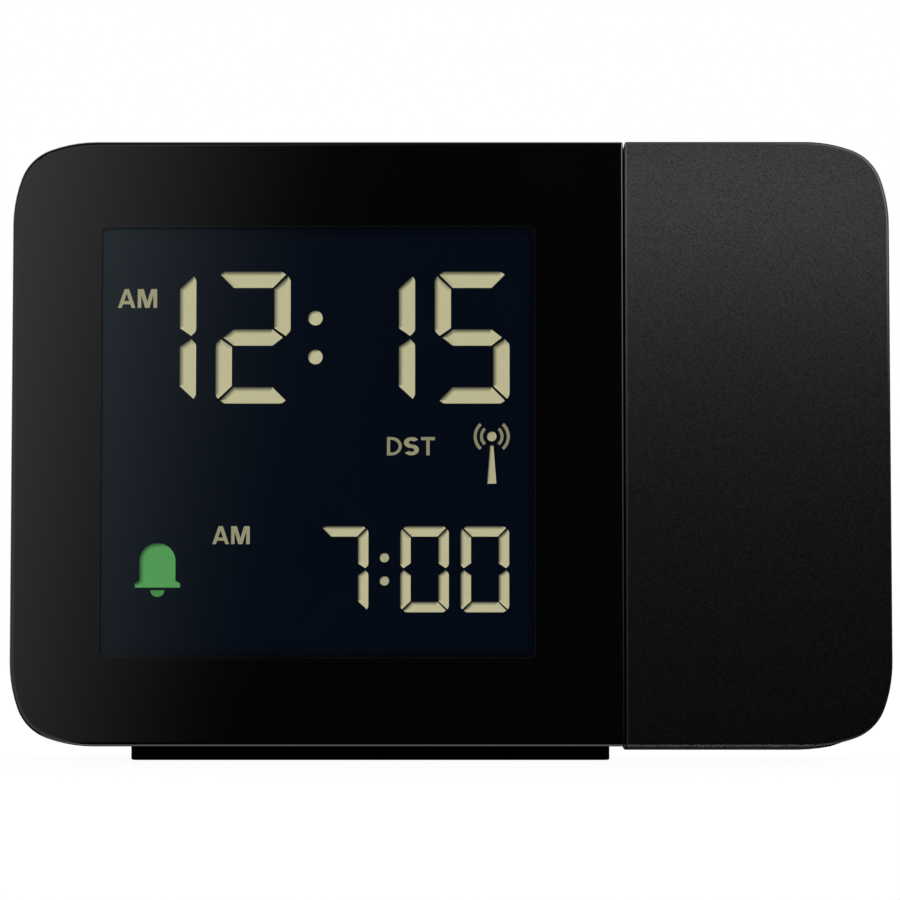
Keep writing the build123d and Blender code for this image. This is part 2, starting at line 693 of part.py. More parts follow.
def mast_faces():
    """Radio mast sign: ball, tapered mast and waves on both sides."""
    x = WINDOW_RIGHT - MAST_RIGHT_MARGIN
    z = WINDOW_TOP - MAST_DROP
    mast_top = -MAST_BALL_RADIUS - MAST_GAP
    mast_low = mast_top - MAST_HEIGHT
    mast = [
        (-MAST_TOP_WIDTH / 2, mast_top),
        (MAST_TOP_WIDTH / 2, mast_top),
        (MAST_BASE_WIDTH / 2, mast_low),
        (-MAST_BASE_WIDTH / 2, mast_low),
    ]
    faces = [Circle(MAST_BALL_RADIUS), Polygon(*mast, align=None)]
    for radius in WAVE_RADII:
        reach = radius + WAVE_WIDTH
        spread = reach * math.tan(math.radians(WAVE_HALF_ANGLE))
        wedge = Polygon((0, 0), (reach, spread), (reach, -spread), align=None)
        band = (Circle(radius + WAVE_WIDTH / 2) - Circle(radius - WAVE_WIDTH / 2)) & wedge
        faces += [band, mirror(band, Plane.YZ)]
    return [Pos(x, z) * face for face in faces]


def bell_face():
    """Bell sign: dome, flared rim and clapper."""
    x = WINDOW_LEFT + BELL_LEFT_MARGIN
    top = WINDOW_LOW + BELL_RISE
    radius = BELL_WIDTH / 2
    low = top - BELL_HEIGHT
    rim_top = low + BELL_RIM_HEIGHT
    flare_top = rim_top + BELL_FLARE_HEIGHT
    flare = [
        (-radius, flare_top),
        (-BELL_RIM_WIDTH / 2, rim_top),
        (-BELL_RIM_WIDTH / 2, low),
        (BELL_RIM_WIDTH / 2, low),
        (BELL_RIM_WIDTH / 2, rim_top),
        (radius, flare_top),
    ]
    side_height = top - radius - flare_top
    bell = Pos(0, top - radius) * Circle(radius)
    bell += Pos(0, flare_top + side_height / 2) * Rectangle(BELL_WIDTH, side_height)
    bell += Polygon(*flare, align=None)
    clapper_top = low - CLAPPER_GAP
    below = Pos(0, clapper_top - CLAPPER_RADIUS) * Rectangle(BELL_WIDTH, 2 * CLAPPER_RADIUS)
    clapper = (Pos(0, clapper_top) * Circle(CLAPPER_RADIUS)) & below
    return [Pos(x, 0) * bell, Pos(x, 0) * clapper]


def segments(faces):
    """Thin lit areas on the front of the display glass."""
    return Compound(children=[slab(face, LCD_FRONT - SEGMENT_THICKNESS, LCD_FRONT) for face in faces])


def make_lcd_segments():
    main = time_faces(
        MAIN_TIME,
        WINDOW_RIGHT - DIGIT_RIGHT_MARGIN,
        WINDOW_TOP - DIGIT_DROP,
        DIGIT_WIDTH,
        DIGIT_HEIGHT,
        DIGIT_STROKE,
        DIGIT_PITCH,
        DIGIT_COLON_SPACE,
        DOT_RADIUS,
        DOT_SPACING,
    )
    alarm = time_faces(
        ALARM_TIME,
        WINDOW_RIGHT - ALARM_RIGHT_MARGIN,
        WINDOW_LOW + ALARM_RISE,
        ALARM_DIGIT_WIDTH,
        ALARM_DIGIT_HEIGHT,
        ALARM_DIGIT_STROKE,
        ALARM_DIGIT_PITCH,
        ALARM_COLON_SPACE,
        ALARM_DOT_RADIUS,
        ALARM_DOT_SPACING,
    )
    return segments(main + alarm + mast_faces())


def make_lcd_bell():
    return segments(bell_face())


def guide_left():
    return LCD_X[0] + LED_SPACE


def make_light_guide():
    return block((guide_left(), LCD_X[1]), (GUIDE_FRONT, GUIDE_BACK), (LCD_Z[0] + LEDGE_HEIGHT, LCD_Z[1]))


def make_backlight_leds():
    x = (guide_left() - STACK_GAP - LED_WIDTH, guide_left() - STACK_GAP)
    y = (GUIDE_BACK - LED_DEPTH, GUIDE_BACK)
    places = [WINDOW_Z + (i - (LED_COUNT - 1) / 2) * LED_PITCH for i in range(LED_COUNT)]
    return Compound(children=[block(x, y, (z - LED_HEIGHT / 2, z + LED_HEIGHT / 2)) for z in places])


def strip_box(grow=0.0, y_grow=0.0):
    """Room that the contact strip takes under the display's lower ledge."""
    low = LCD_Z[0] + STRIP_RISE
    return block(
        (LCD_X[0] + STRIP_END_MARGIN - grow, LCD_X[1] - STRIP_END_MARGIN + grow),
        (LCD_BACK - y_grow, TRAY_BACK + y_grow),
        (low - grow, low + STRIP_HEIGHT + grow),
    )


def make_lcd_tray():
    inside_x = (LCD_X[0] - TRAY_GAP, LCD_X[1] + TRAY_GAP)
    inside_z = (LCD_Z[0] - TRAY_GAP, LCD_Z[1] + TRAY_GAP)
    outside_x = (inside_x[0] - TRAY_WALL, inside_x[1] + TRAY_WALL)
    outside_z = (inside_z[0] - TRAY_WALL, inside_z[1] + TRAY_WALL)
    tray = block(outside_x, (PANEL_BACK, TRAY_BACK), outside_z)
    tray -= block(inside_x, (PANEL_BACK - OVERRUN, GUIDE_BACK), inside_z)
    return tray - strip_box(STRIP_SLOT_GAP, OVERRUN)


def make_contact_strip():
    return strip_box()


def board_face():
    """Outline of the main board, with a notch that clears the pivot."""
    x = (LEFT_INSIDE + BOARD_MARGIN, SEAM_INSIDE - BOARD_MARGIN)
    z = (BOTTOM_INSIDE + BOARD_Z_MARGIN, BOARD_TOP)
    board = RectangleRounded(x[1] - x[0], z[1] - z[0], BOARD_CORNER_RADIUS)
    notch = Rectangle(2 * PIVOT_NOTCH, 2 * PIVOT_NOTCH)
    return Pos(sum(x) / 2, sum(z) / 2) * board - Pos(SEAM_INSIDE, PIVOT_Z) * notch


def make_main_board():
    board = slab(board_face(), TRAY_BACK, BOARD_BACK)
    for x, z in POST_PLACES:
        board -= rod(BOARD_SCREW_HOLE_RADIUS, (x, TRAY_BACK - OVERRUN, z), (x, BOARD_BACK + OVERRUN, z))
    return board


def make_board_screws():
    return Compound(
        children=[
            screw(
                BOARD_SCREW_RADIUS,
                BOARD_SCREW_HEAD_RADIUS,
                BOARD_SCREW_HEAD_HEIGHT,
                BOARD_SCREW_LENGTH,
                (x, BOARD_BACK, z),
                (0, -1, 0),
            )
            for x, z in POST_PLACES
        ]
    )


def make_board_components():
    chip_y = (BOARD_BACK, BOARD_BACK + CHIP_HEIGHT)
    half = CHIP_SIZE / 2
    pieces = [block((WINDOW_X - half, WINDOW_X + half), chip_y, (PIVOT_Z - half, PIVOT_Z + half))]
    crystal_y = BOARD_BACK + CRYSTAL_RADIUS
    crystal_z = PIVOT_Z - CRYSTAL_OFFSET
    crystal_x = (WINDOW_X - CRYSTAL_LENGTH / 2, WINDOW_X + CRYSTAL_LENGTH / 2)
    pieces.append(rod(CRYSTAL_RADIUS, *[(x, crystal_y, crystal_z) for x in crystal_x]))
    for i in range(CAPACITOR_COUNT):
        x = WINDOW_X + (i - (CAPACITOR_COUNT - 1) / 2) * CAPACITOR_PITCH
        z = BOTTOM_INSIDE + CAPACITOR_RISE
        pieces.append(rod(CAPACITOR_RADIUS, (x, BOARD_BACK, z), (x, BOARD_BACK + CAPACITOR_HEIGHT, z)))
    plug_z = (PIVOT_Z - PLUG_WIDTH / 2, PIVOT_Z + PLUG_WIDTH / 2)
    plug_x = (LEAD_PLUG_X, LEAD_PLUG_X + PLUG_LENGTH)
    pieces.append(block(plug_x, (BOARD_BACK, BOARD_BACK + PLUG_HEIGHT), plug_z))
    return Compound(children=pieces)


def receiver_place():
    return WINDOW_X + RECEIVER_OFFSET_X, PIVOT_Z + RECEIVER_OFFSET_Z


def make_receiver_board():
    x, z = receiver_place()
    y = BOARD_BACK + RECEIVER_STANDOFF
    return slab(Pos(x, z) * Rectangle(RECEIVER_WIDTH, RECEIVER_HEIGHT), y, y + RECEIVER_THICKNESS)


def make_receiver_header():
    x, z = receiver_place()
    face = Pos(x, z) * Rectangle(HEADER_WIDTH, HEADER_HEIGHT)
    return slab(face, BOARD_BACK, BOARD_BACK + RECEIVER_STANDOFF)


def rod_x():
    """Ends of the antenna rod."""
    start = LEFT + ROD_LEFT_MARGIN
    return start, start + ROD_LENGTH


def make_antenna_rod():
    z = TOP_INSIDE - ROD_DROP
    return rod(ROD_RADIUS, *[(x, ROD_Y, z) for x in rod_x()])


def make_antenna_coil():
    z = TOP_INSIDE - ROD_DROP
    middle = sum(rod_x()) / 2
    ends = [(middle + side * COIL_LENGTH / 2, ROD_Y, z) for side in (-1, 1)]
    return tube(COIL_RADIUS, ROD_RADIUS + RUNNING_GAP, *ends)


def make_main_shell():
    shell = slab(outline(SEAM, LEFT), PANEL_BACK, PARTING)
    seam_edges = shell.edges().filter_by(Axis.Y).filter_by_position(Axis.X, SEAM - FIT, SEAM + FIT)
    shell = fillet(seam_edges, SEAM_EDGE_RADIUS)
    shell -= slab(inner_outline(0.0), PANEL_BACK - OVERRUN, PARTING + OVERRUN)
    shell += rear_bosses()
    shell += antenna_lugs()
    shell -= rod(BUSH_RADIUS + FIT, on_axis(SEAM_INSIDE - OVERRUN), on_axis(SEAM + OVERRUN))
    shell -= plate(snooze_face(KEY_GAP), TOP_INSIDE - OVERRUN, TOP + OVERRUN)
    return shell - plate(foot_face(FIT), BOTTOM - OVERRUN, BOTTOM + FOOT_RECESS)


def rear_bosses():
    """Bosses for the cover screws, each tied to its side wall by a rib."""
    bosses = []
    pilot = COVER_SCREW_RADIUS + RUNNING_GAP
    pilot_front = BACK - COVER_SCREW_SINK - COVER_SCREW_LENGTH - PILOT_SPARE
    for x, z in BOSS_PLACES:
        wall_x = LEFT_INSIDE if x < WINDOW_X else SEAM_INSIDE
        rib_x = sorted((x, wall_x + math.copysign(FIT, wall_x - x)))
        boss = rod(BOSS_RADIUS, (x, BOSS_START, z), (x, BOSS_END, z))
        boss += block(rib_x, (BOSS_START, BOSS_END), (z - BOSS_RIB / 2, z + BOSS_RIB / 2))
        bosses.append(boss - rod(pilot, (x, pilot_front, z), (x, BOSS_END + OVERRUN, z)))
    return bosses


def antenna_lugs():
    """Two lugs that hang from the top wall and hold the antenna rod."""
    z = TOP_INSIDE - ROD_DROP
    half = ROD_RADIUS + LUG_WALL
    lugs = []
    starts = (rod_x()[0] + LUG_INSET, rod_x()[1] - LUG_INSET - LUG_THICKNESS)
    for start in starts:
        end = start + LUG_THICKNESS
        lug = block((start, end), (ROD_Y - half, ROD_Y + half), (z - half, TOP_INSIDE + FIT))
        bore_ends = [(x, ROD_Y, z) for x in (start - OVERRUN, end + OVERRUN)]
        lugs.append(lug - rod(ROD_RADIUS + RUNNING_GAP, *bore_ends))
    return lugs


def foot_face(grow=0.0):
    """Outline of the foot, in X and Y."""
    x = (LEFT + FOOT_LEFT_MARGIN - grow, SEAM - FOOT_SEAM_MARGIN + grow)
    y = (FRONT + PANEL_THICKNESS + FOOT_FRONT_MARGIN - grow, PARTING - FOOT_BACK_MARGIN + grow)
    face = RectangleRounded(x[1] - x[0], y[1] - y[0], FOOT_CORNER_RADIUS + grow)
    return Pos(sum(x) / 2, sum(y) / 2) * face


def make_foot():
    foot = plate(foot_face(), 0.0, BOTTOM + FOOT_RECESS)
    return fillet(foot.faces().sort_by(Axis.Z)[0].edges(), FOOT_EDGE_RADIUS)


# Snooze bar and its switch
def snooze_face(grow=0.0):
    face = RectangleRounded(SNOOZE_LENGTH + 2 * grow, SNOOZE_DEPTH + 2 * grow, SNOOZE_CORNER_RADIUS + grow)
    return Pos(WINDOW_X, SNOOZE_Y) * face


def snooze_switch_y():
    return BOARD_BACK + SNOOZE_SWITCH_DEPTH / 2


def make_snooze_bar():
    flange_top = TOP_INSIDE - KEY_GAP
    flange_low = flange_top - SNOOZE_FLANGE_THICKNESS
    bar = plate(snooze_face(), flange_low, TOP - SNOOZE_SINK)
    bar = fillet(bar.faces().sort_by(Axis.Z)[-1].edges(), SNOOZE_EDGE_RADIUS)
    bar += plate(snooze_face(SNOOZE_FLANGE), flange_low, flange_top)
    rib = Pos(WINDOW_X, snooze_switch_y()) * Rectangle(SNOOZE_RIB_LENGTH, SNOOZE_RIB_DEPTH)
    rib_low = SNOOZE_SWITCH_TOP + SNOOZE_STEM_HEIGHT + SNOOZE_TRAVEL + PRESS_GAP
    return bar + plate(rib, rib_low, flange_low)


def make_snooze_switch():
    half = SNOOZE_SWITCH_WIDTH / 2
    low = SNOOZE_SWITCH_TOP - SNOOZE_SWITCH_HEIGHT
    y = (BOARD_BACK, BOARD_BACK + SNOOZE_SWITCH_DEPTH)
    can = block((WINDOW_X - half, WINDOW_X + half), y, (low, SNOOZE_SWITCH_TOP))
    stem_top = SNOOZE_SWITCH_TOP + SNOOZE_STEM_HEIGHT
    ends = [(WINDOW_X, snooze_switch_y(), z) for z in (SNOOZE_SWITCH_TOP, stem_top)]
    return can + rod(SNOOZE_STEM_RADIUS, *ends)


# Rear cover and what it carries
def make_rear_cover():
    cover = slab(outline(SEAM, LEFT), PARTING, BACK)
    cover = fillet(cover.faces().sort_by(Axis.Y)[-1].edges(), REAR_RADIUS)
    hollow = slab(inner_outline(0.0), PARTING - OVERRUN, REAR_INSIDE)
    cover -= fillet(hollow.faces().sort_by(Axis.Y)[-1].edges(), REAR_RADIUS - WALL)
    cover += lip(PARTING - LIP_DEPTH, PARTING)
    lip_root = inner_outline(-FIT) - inner_outline(FIT + LIP_THICKNESS)
    cover += slab(lip_root, PARTING, PARTING + LIP_DEPTH)
    cover = with_cover_posts(cover)
    cover = with_key_openings(cover)
    cover = with_door_opening(cover)
    cover -= through_cover(INLET_NOSE_RADIUS + FIT, *inlet_place())
    for x, z in sound_holes():
        cover -= through_cover(SOUND_HOLE_RADIUS, x, z)
    return cover


def through_cover(radius, x, z):
    """Round cutter through the cover's rear wall."""
    return rod(radius, (x, REAR_INSIDE - OVERRUN, z), (x, BACK + OVERRUN, z))


def with_cover_posts(cover):
    """Adds the screw posts and the key board's posts, with their holes."""
    for x, z in BOSS_PLACES:
        cover += rod(BOSS_RADIUS + FIT, (x, BOSS_END, z), (x, REAR_INSIDE + FIT, z))
        cover -= rod(COVER_SCREW_HOLE_RADIUS, (x, BOSS_END - OVERRUN, z), (x, BACK + OVERRUN, z))
        cover -= rod(COVER_COUNTERBORE_RADIUS, (x, BACK - COVER_SCREW_SINK, z), (x, BACK + OVERRUN, z))
    pilot = KEY_SCREW_RADIUS + RUNNING_GAP
    pilot_back = KEY_BOARD_FRONT + KEY_SCREW_LENGTH + PILOT_SPARE
    z = KEY_POST_Z
    for x in KEY_POST_PLACES:
        cover += rod(KEY_POST_RADIUS, (x, KEY_BOARD_BACK, z), (x, REAR_INSIDE + FIT, z))
        cover -= rod(pilot, (x, KEY_BOARD_BACK - OVERRUN, z), (x, pilot_back, z))
    return cover


def key_face(x, grow=0.0):
    return Pos(x, KEY_Z) * SlotOverall(KEY_LENGTH + 2 * grow, KEY_HEIGHT + 2 * grow)


def switch_face(length, grow=0.0):
    """Round-ended face at the slide switch, centred on its travel."""
    return Pos(WINDOW_X, SWITCH_Z) * SlotOverall(length + 2 * grow, SWITCH_KNOB_HEIGHT + 2 * grow)


def with_key_openings(cover):
    """Cuts the troughs, the key holes and the slide switch's slot."""
    row = KEY_PLACES[-1] - KEY_PLACES[0] + KEY_LENGTH + 2 * TROUGH_MARGIN
    trough = Pos(WINDOW_X, KEY_Z) * SlotOverall(row, KEY_HEIGHT + 2 * TROUGH_MARGIN)
    cover -= slab(trough, BACK - TROUGH_DEPTH, BACK + OVERRUN)
    for x in KEY_PLACES:
        cover -= slab(key_face(x, KEY_GAP), REAR_INSIDE - OVERRUN, BACK + OVERRUN)
    slot_length = SWITCH_KNOB_LENGTH + SWITCH_TRAVEL
    cover -= slab(switch_face(slot_length, SWITCH_TROUGH_MARGIN), BACK - TROUGH_DEPTH, BACK + OVERRUN)
    return cover - slab(switch_face(slot_length, KEY_GAP), REAR_INSIDE - OVERRUN, BACK + OVERRUN)


def with_door_opening(cover):
    """Cuts the battery door's opening, its pivot holes and the finger notch above it."""
    x = (BAY_X - DOOR_LENGTH / 2, BAY_X + DOOR_LENGTH / 2)
    grown_x = (x[0] - DOOR_GAP, x[1] + DOOR_GAP)
    grown_z = (DOOR_LOW - DOOR_GAP, DOOR_HIGH + DOOR_GAP)
    cover -= block(grown_x, (REAR_INSIDE - OVERRUN, BACK + OVERRUN), grown_z)
    pin_reach = DOOR_PIN_LENGTH + DOOR_GAP
    ends = [(place, DOOR_PIVOT_Y, DOOR_PIVOT_Z) for place in (x[0] - pin_reach, x[1] + pin_reach)]
    cover -= rod(DOOR_PIN_RADIUS + RUNNING_GAP, *ends)
    notch_y = (BACK - DOOR_NOTCH_DEPTH, BACK + OVERRUN)
    return cover - rod(DOOR_NOTCH_RADIUS, *[(BAY_X, y, DOOR_HIGH + DOOR_GAP) for y in notch_y])


def make_rear_screws():
    seat_y = BACK - COVER_SCREW_SINK
    return Compound(
        children=[
            screw(
                COVER_SCREW_RADIUS,
                COVER_SCREW_HEAD_RADIUS,
                COVER_SCREW_HEAD_HEIGHT,
                COVER_SCREW_LENGTH,
                (x, seat_y, z),
                (0, -1, 0),
            )
            for x, z in BOSS_PLACES
        ]
    )


def make_key(x):
    flange_back = REAR_INSIDE - KEY_GAP
    flange_front = flange_back - KEY_FLANGE_THICKNESS
    key = slab(key_face(x), flange_front, BACK - KEY_SINK)
    key = fillet(key.faces().sort_by(Axis.Y)[-1].edges(), KEY_EDGE_RADIUS)
    key += slab(key_face(x, KEY_FLANGE), flange_front, flange_back)
    stem_end = TACT_TOP + KEY_TRAVEL + PRESS_GAP
    return key + rod(KEY_STEM_RADIUS, (x, stem_end, KEY_Z), (x, flange_front, KEY_Z))


def make_key_board():
    width = KEY_BOARD_WIDTH
    x = (WINDOW_X - width / 2, WINDOW_X + width / 2)
    z = (KEY_Z - KEY_BOARD_FALL, KEY_Z + KEY_BOARD_RISE)
    board = block(x, (KEY_BOARD_FRONT, KEY_BOARD_BACK), z)
    for x in KEY_POST_PLACES:
        board -= rod(
            KEY_SCREW_RADIUS + FIT,
            (x, KEY_BOARD_FRONT - OVERRUN, KEY_POST_Z),
            (x, KEY_BOARD_BACK + OVERRUN, KEY_POST_Z),
        )
    return board


def make_key_board_screws():
    return Compound(
        children=[
            screw(
                KEY_SCREW_RADIUS,
                KEY_SCREW_HEAD_RADIUS,
                KEY_SCREW_HEAD_HEIGHT,
                KEY_SCREW_LENGTH,
                (x, KEY_BOARD_FRONT, KEY_POST_Z),
                (0, 1, 0),
            )
            for x in KEY_POST_PLACES
        ]
    )


def make_key_switches():
    half = TACT_SIZE / 2
    can_back = KEY_BOARD_BACK + TACT_HEIGHT
    cans = []
    for x in KEY_PLACES:
        can = block((x - half, x + half), (KEY_BOARD_BACK, can_back), (KEY_Z - half, KEY_Z + half))
        cans.append(can + rod(TACT_STEM_RADIUS, (x, can_back, KEY_Z), (x, TACT_TOP, KEY_Z)))
    return Compound(children=cans)


def make_slide_switch():
    face = Pos(WINDOW_X, SWITCH_Z) * Rectangle(SWITCH_CAN_LENGTH, SWITCH_CAN_HEIGHT)
    return slab(face, KEY_BOARD_BACK, KEY_BOARD_BACK + SWITCH_CAN_DEPTH)


def make_alarm_switch():
    """Ribbed knob, stored at the low end of its travel."""
    x = WINDOW_X - SWITCH_TRAVEL / 2
    flange_back = REAR_INSIDE - KEY_GAP
    flange_front = flange_back - SWITCH_FLANGE_THICKNESS
    can_back = KEY_BOARD_BACK + SWITCH_CAN_DEPTH
    knob_face = Pos(x, SWITCH_Z) * SlotOverall(SWITCH_KNOB_LENGTH, SWITCH_KNOB_HEIGHT)
    knob = slab(knob_face, flange_front, BACK - KEY_SINK)
    flange_length = SWITCH_KNOB_LENGTH + 2 * SWITCH_TRAVEL + 2 * SWITCH_FLANGE
    flange_height = SWITCH_KNOB_HEIGHT + 2 * SWITCH_FLANGE
    flange = Pos(x, SWITCH_Z) * Rectangle(flange_length, flange_height)
    knob += slab(flange, flange_front, flange_back)
    knob += rod(KEY_STEM_RADIUS, (x, can_back + PRESS_GAP, SWITCH_Z), (x, flange_front, SWITCH_Z))
    for i in range(SWITCH_RIB_COUNT):
        rib_x = x + (i - (SWITCH_RIB_COUNT - 1) / 2) * SWITCH_RIB_PITCH
        groove = Pos(rib_x, SWITCH_Z) * Rectangle(SWITCH_RIB_WIDTH, SWITCH_KNOB_HEIGHT + OVERRUN)
        knob -= slab(groove, BACK - KEY_SINK - SWITCH_RIB_DEPTH, BACK + OVERRUN)
    return knob


def bay_face(grow=0.0):
    return Pos(BAY_X, BAY_Z) * Rectangle(BAY_LENGTH + 2 * grow, BAY_HEIGHT + 2 * grow)


def make_battery_bay():
    bay = slab(bay_face(BAY_WALL), BAY_FLOOR - BAY_WALL, REAR_INSIDE)
    bay += slab(bay_face(BAY_FLANGE), REAR_INSIDE - BAY_FLANGE_THICKNESS, REAR_INSIDE)
    return bay - slab(bay_face(), BAY_FLOOR, REAR_INSIDE + OVERRUN)


def cell_places():
    """Heights of the two cells, each with the way that its nub points."""
    return [(BAY_Z + side * CELL_PITCH / 2, side) for side in (-1, 1)]


def make_battery_cells():
    cells = []
    for z, side in cell_places():
        nub_end = BAY_X + side * (BAY_LENGTH / 2 - CONTACT_THICKNESS)
        shoulder = nub_end - side * CELL_NUB_LENGTH
        base = shoulder - side * CELL_LENGTH
        cell = rod(CELL_RADIUS, (base, CELL_Y, z), (shoulder, CELL_Y, z))
        cells.append(cell + rod(CELL_NUB_RADIUS, (shoulder, CELL_Y, z), (nub_end, CELL_Y, z)))
    return Compound(children=cells)


def make_battery_contacts():
    contacts = []
    half = CONTACT_SIZE / 2
    y, depth = CELL_Y, (CELL_Y - half, CELL_Y + half)
    for z, side in cell_places():
        for end in (-1, 1):
            wall = BAY_X + end * BAY_LENGTH / 2
            face = wall - end * CONTACT_THICKNESS
            contact = block(sorted((wall, face)), depth, (z - half, z + half))
            if end != side:
                tip = face - end * CONTACT_BUMP_LENGTH
                contact += rod(CONTACT_BUMP_RADIUS, (face, y, z), (tip, y, z))
            contacts.append(contact)
    return Compound(children=contacts)


def make_battery_door():
    x = (BAY_X - DOOR_LENGTH / 2, BAY_X + DOOR_LENGTH / 2)
    door = block(x, (DOOR_INSIDE, BACK), (DOOR_PIVOT_Z, DOOR_HIGH))
    ends = [(place, DOOR_PIVOT_Y, DOOR_PIVOT_Z) for place in x]
    door += rod(DOOR_THICKNESS / 2, *ends)
    pin_x = (x[0] - DOOR_PIN_LENGTH, x[1] + DOOR_PIN_LENGTH)
    return door + rod(DOOR_PIN_RADIUS, *[(place, DOOR_PIVOT_Y, DOOR_PIVOT_Z) for place in pin_x])


def inlet_place():
    bay_end = BAY_X + BAY_LENGTH / 2 + BAY_FLANGE
    return bay_end + INLET_BAY_GAP + INLET_WIDTH / 2, BAY_Z + INLET_RISE


def make_power_inlet():
    x, z = inlet_place()
    nose = BACK - INLET_NOSE_SINK
    body = slab(Pos(x, z) * Rectangle(INLET_WIDTH, INLET_HEIGHT), REAR_INSIDE - INLET_DEPTH, REAR_INSIDE)
    body += rod(INLET_NOSE_RADIUS, (x, REAR_INSIDE, z), (x, nose, z))
    bore_end = nose - INLET_BORE_DEPTH
    body -= rod(INLET_BORE_RADIUS, (x, bore_end, z), (x, nose + OVERRUN, z))
    return body + rod(INLET_PIN_RADIUS, (x, bore_end, z), (x, nose - INLET_PIN_SINK, z))


def make_sounder():
    y = (REAR_INSIDE - SOUNDER_DEPTH, REAR_INSIDE)
    return rod(SOUNDER_RADIUS, *[(WINDOW_X, place, SOUNDER_Z) for place in y])


def sound_holes():
    """Places of the sound holes: one in the middle and a ring round it."""
    places = [(WINDOW_X, SOUNDER_Z)]
    for i in range(SOUND_HOLE_COUNT):
        angle = 2 * math.pi * i / SOUND_HOLE_COUNT
        x = WINDOW_X + SOUND_HOLE_RING_RADIUS * math.cos(angle)
        places.append((x, SOUNDER_Z + SOUND_HOLE_RING_RADIUS * math.sin(angle)))
    return places


# Pivot
def on_axis(x):
    """Point on the pivot axis."""
    return x, PIVOT_Y, PIVOT_Z


def sector(inner_radius, outer_radius, middle_angle, half_angle, x_start, x_end):
    """Part of a ring round the pivot axis. Angle 0 points to the back."""
    steps = math.ceil(half_angle / 30)
    reach = outer_radius / math.cos(math.radians(half_angle / steps))
    angles = [middle_angle + half_angle * (i / steps - 1) for i in range(2 * steps + 1)]
    fan = [(reach * math.cos(math.radians(a)), reach * math.sin(math.radians(a))) for a in angles]
    face = (Circle(outer_radius) - Circle(inner_radius)) & Polygon((0, 0), *fan, align=None)
    return extrude(Plane(on_axis(x_start), x_dir=(0, 1, 0), z_dir=(1, 0, 0)) * face, x_end - x_start)


def make_pivot_bush():
    flange_end = SEAM_INSIDE - BUSH_FLANGE_THICKNESS
    bush = tube(BUSH_RADIUS, BUSH_BORE_RADIUS, on_axis(BUSH_END), on_axis(SEAM))
    bush += tube(BUSH_FLANGE_RADIUS, BUSH_BORE_RADIUS, on_axis(flange_end), on_axis(SEAM_INSIDE))
    free = ARM_SWING + STOP_LUG_HALF_ANGLE + STOP_CLEARANCE_ANGLE
    bush += sector(BUSH_BORE_RADIUS, STOP_LUG_RADIUS, 180, 180 - free, BUSH_END, flange_end)
    return bush + sector(STOP_INNER_RADIUS, STOP_LUG_RADIUS, 180, 180 - free, CLIP_END, BUSH_END)


def make_friction_washer():
    return tube(WASHER_RADIUS, BUSH_BORE_RADIUS, on_axis(WASHER_END), on_axis(BUSH_END))


def make_pivot_clip():
    """Spring clip in the hub's groove; its lug meets the bush's stop at each end of the swing."""
    clip = tube(CLIP_RADIUS, GROOVE_RADIUS + RUNNING_GAP, on_axis(CLIP_END), on_axis(WASHER_END))
    clip += sector(GROOVE_RADIUS + FIT, STOP_LUG_RADIUS, 0, STOP_LUG_HALF_ANGLE, CLIP_END, WASHER_END)
    mouth_y = (PIVOT_Y - CLIP_RADIUS - OVERRUN, PIVOT_Y)
    half = CLIP_MOUTH / 2
    mouth_x = (CLIP_END - OVERRUN, WASHER_END + OVERRUN)
    return clip - block(mouth_x, mouth_y, (PIVOT_Z - half, PIVOT_Z + half))


def make_pivot_hub():
    flange_end = PLATE_INSIDE + HUB_FLANGE_THICKNESS
    hub = tube(HUB_RADIUS, HUB_BORE_RADIUS, on_axis(HUB_END), on_axis(flange_end))
    hub += tube(HUB_FLANGE_RADIUS, HUB_BORE_RADIUS, on_axis(PLATE_INSIDE), on_axis(flange_end))
    hub -= tube(HUB_RADIUS + OVERRUN, GROOVE_RADIUS, on_axis(CLIP_END), on_axis(WASHER_END))
    for y, z in hub_screw_places():
        hub -= rod(HUB_SCREW_RADIUS + FIT, (PLATE_INSIDE - OVERRUN, y, z), (flange_end + OVERRUN, y, z))
    return hub


def hub_screw_places():
    places = []
    for i in range(HUB_SCREW_COUNT):
        angle = 2 * math.pi * i / HUB_SCREW_COUNT
        y = PIVOT_Y + HUB_SCREW_CIRCLE_RADIUS * math.cos(angle)
        places.append((y, PIVOT_Z + HUB_SCREW_CIRCLE_RADIUS * math.sin(angle)))
    return places


def make_hub_screws():
    seat = PLATE_INSIDE + HUB_FLANGE_THICKNESS
    return Compound(
        children=[
            screw(
                HUB_SCREW_RADIUS,
                HUB_SCREW_HEAD_RADIUS,
                HUB_SCREW_HEAD_HEIGHT,
                HUB_SCREW_LENGTH,
                (seat, y, z),
                (-1, 0, 0),
            )
            for y, z in hub_screw_places()
        ]
    )


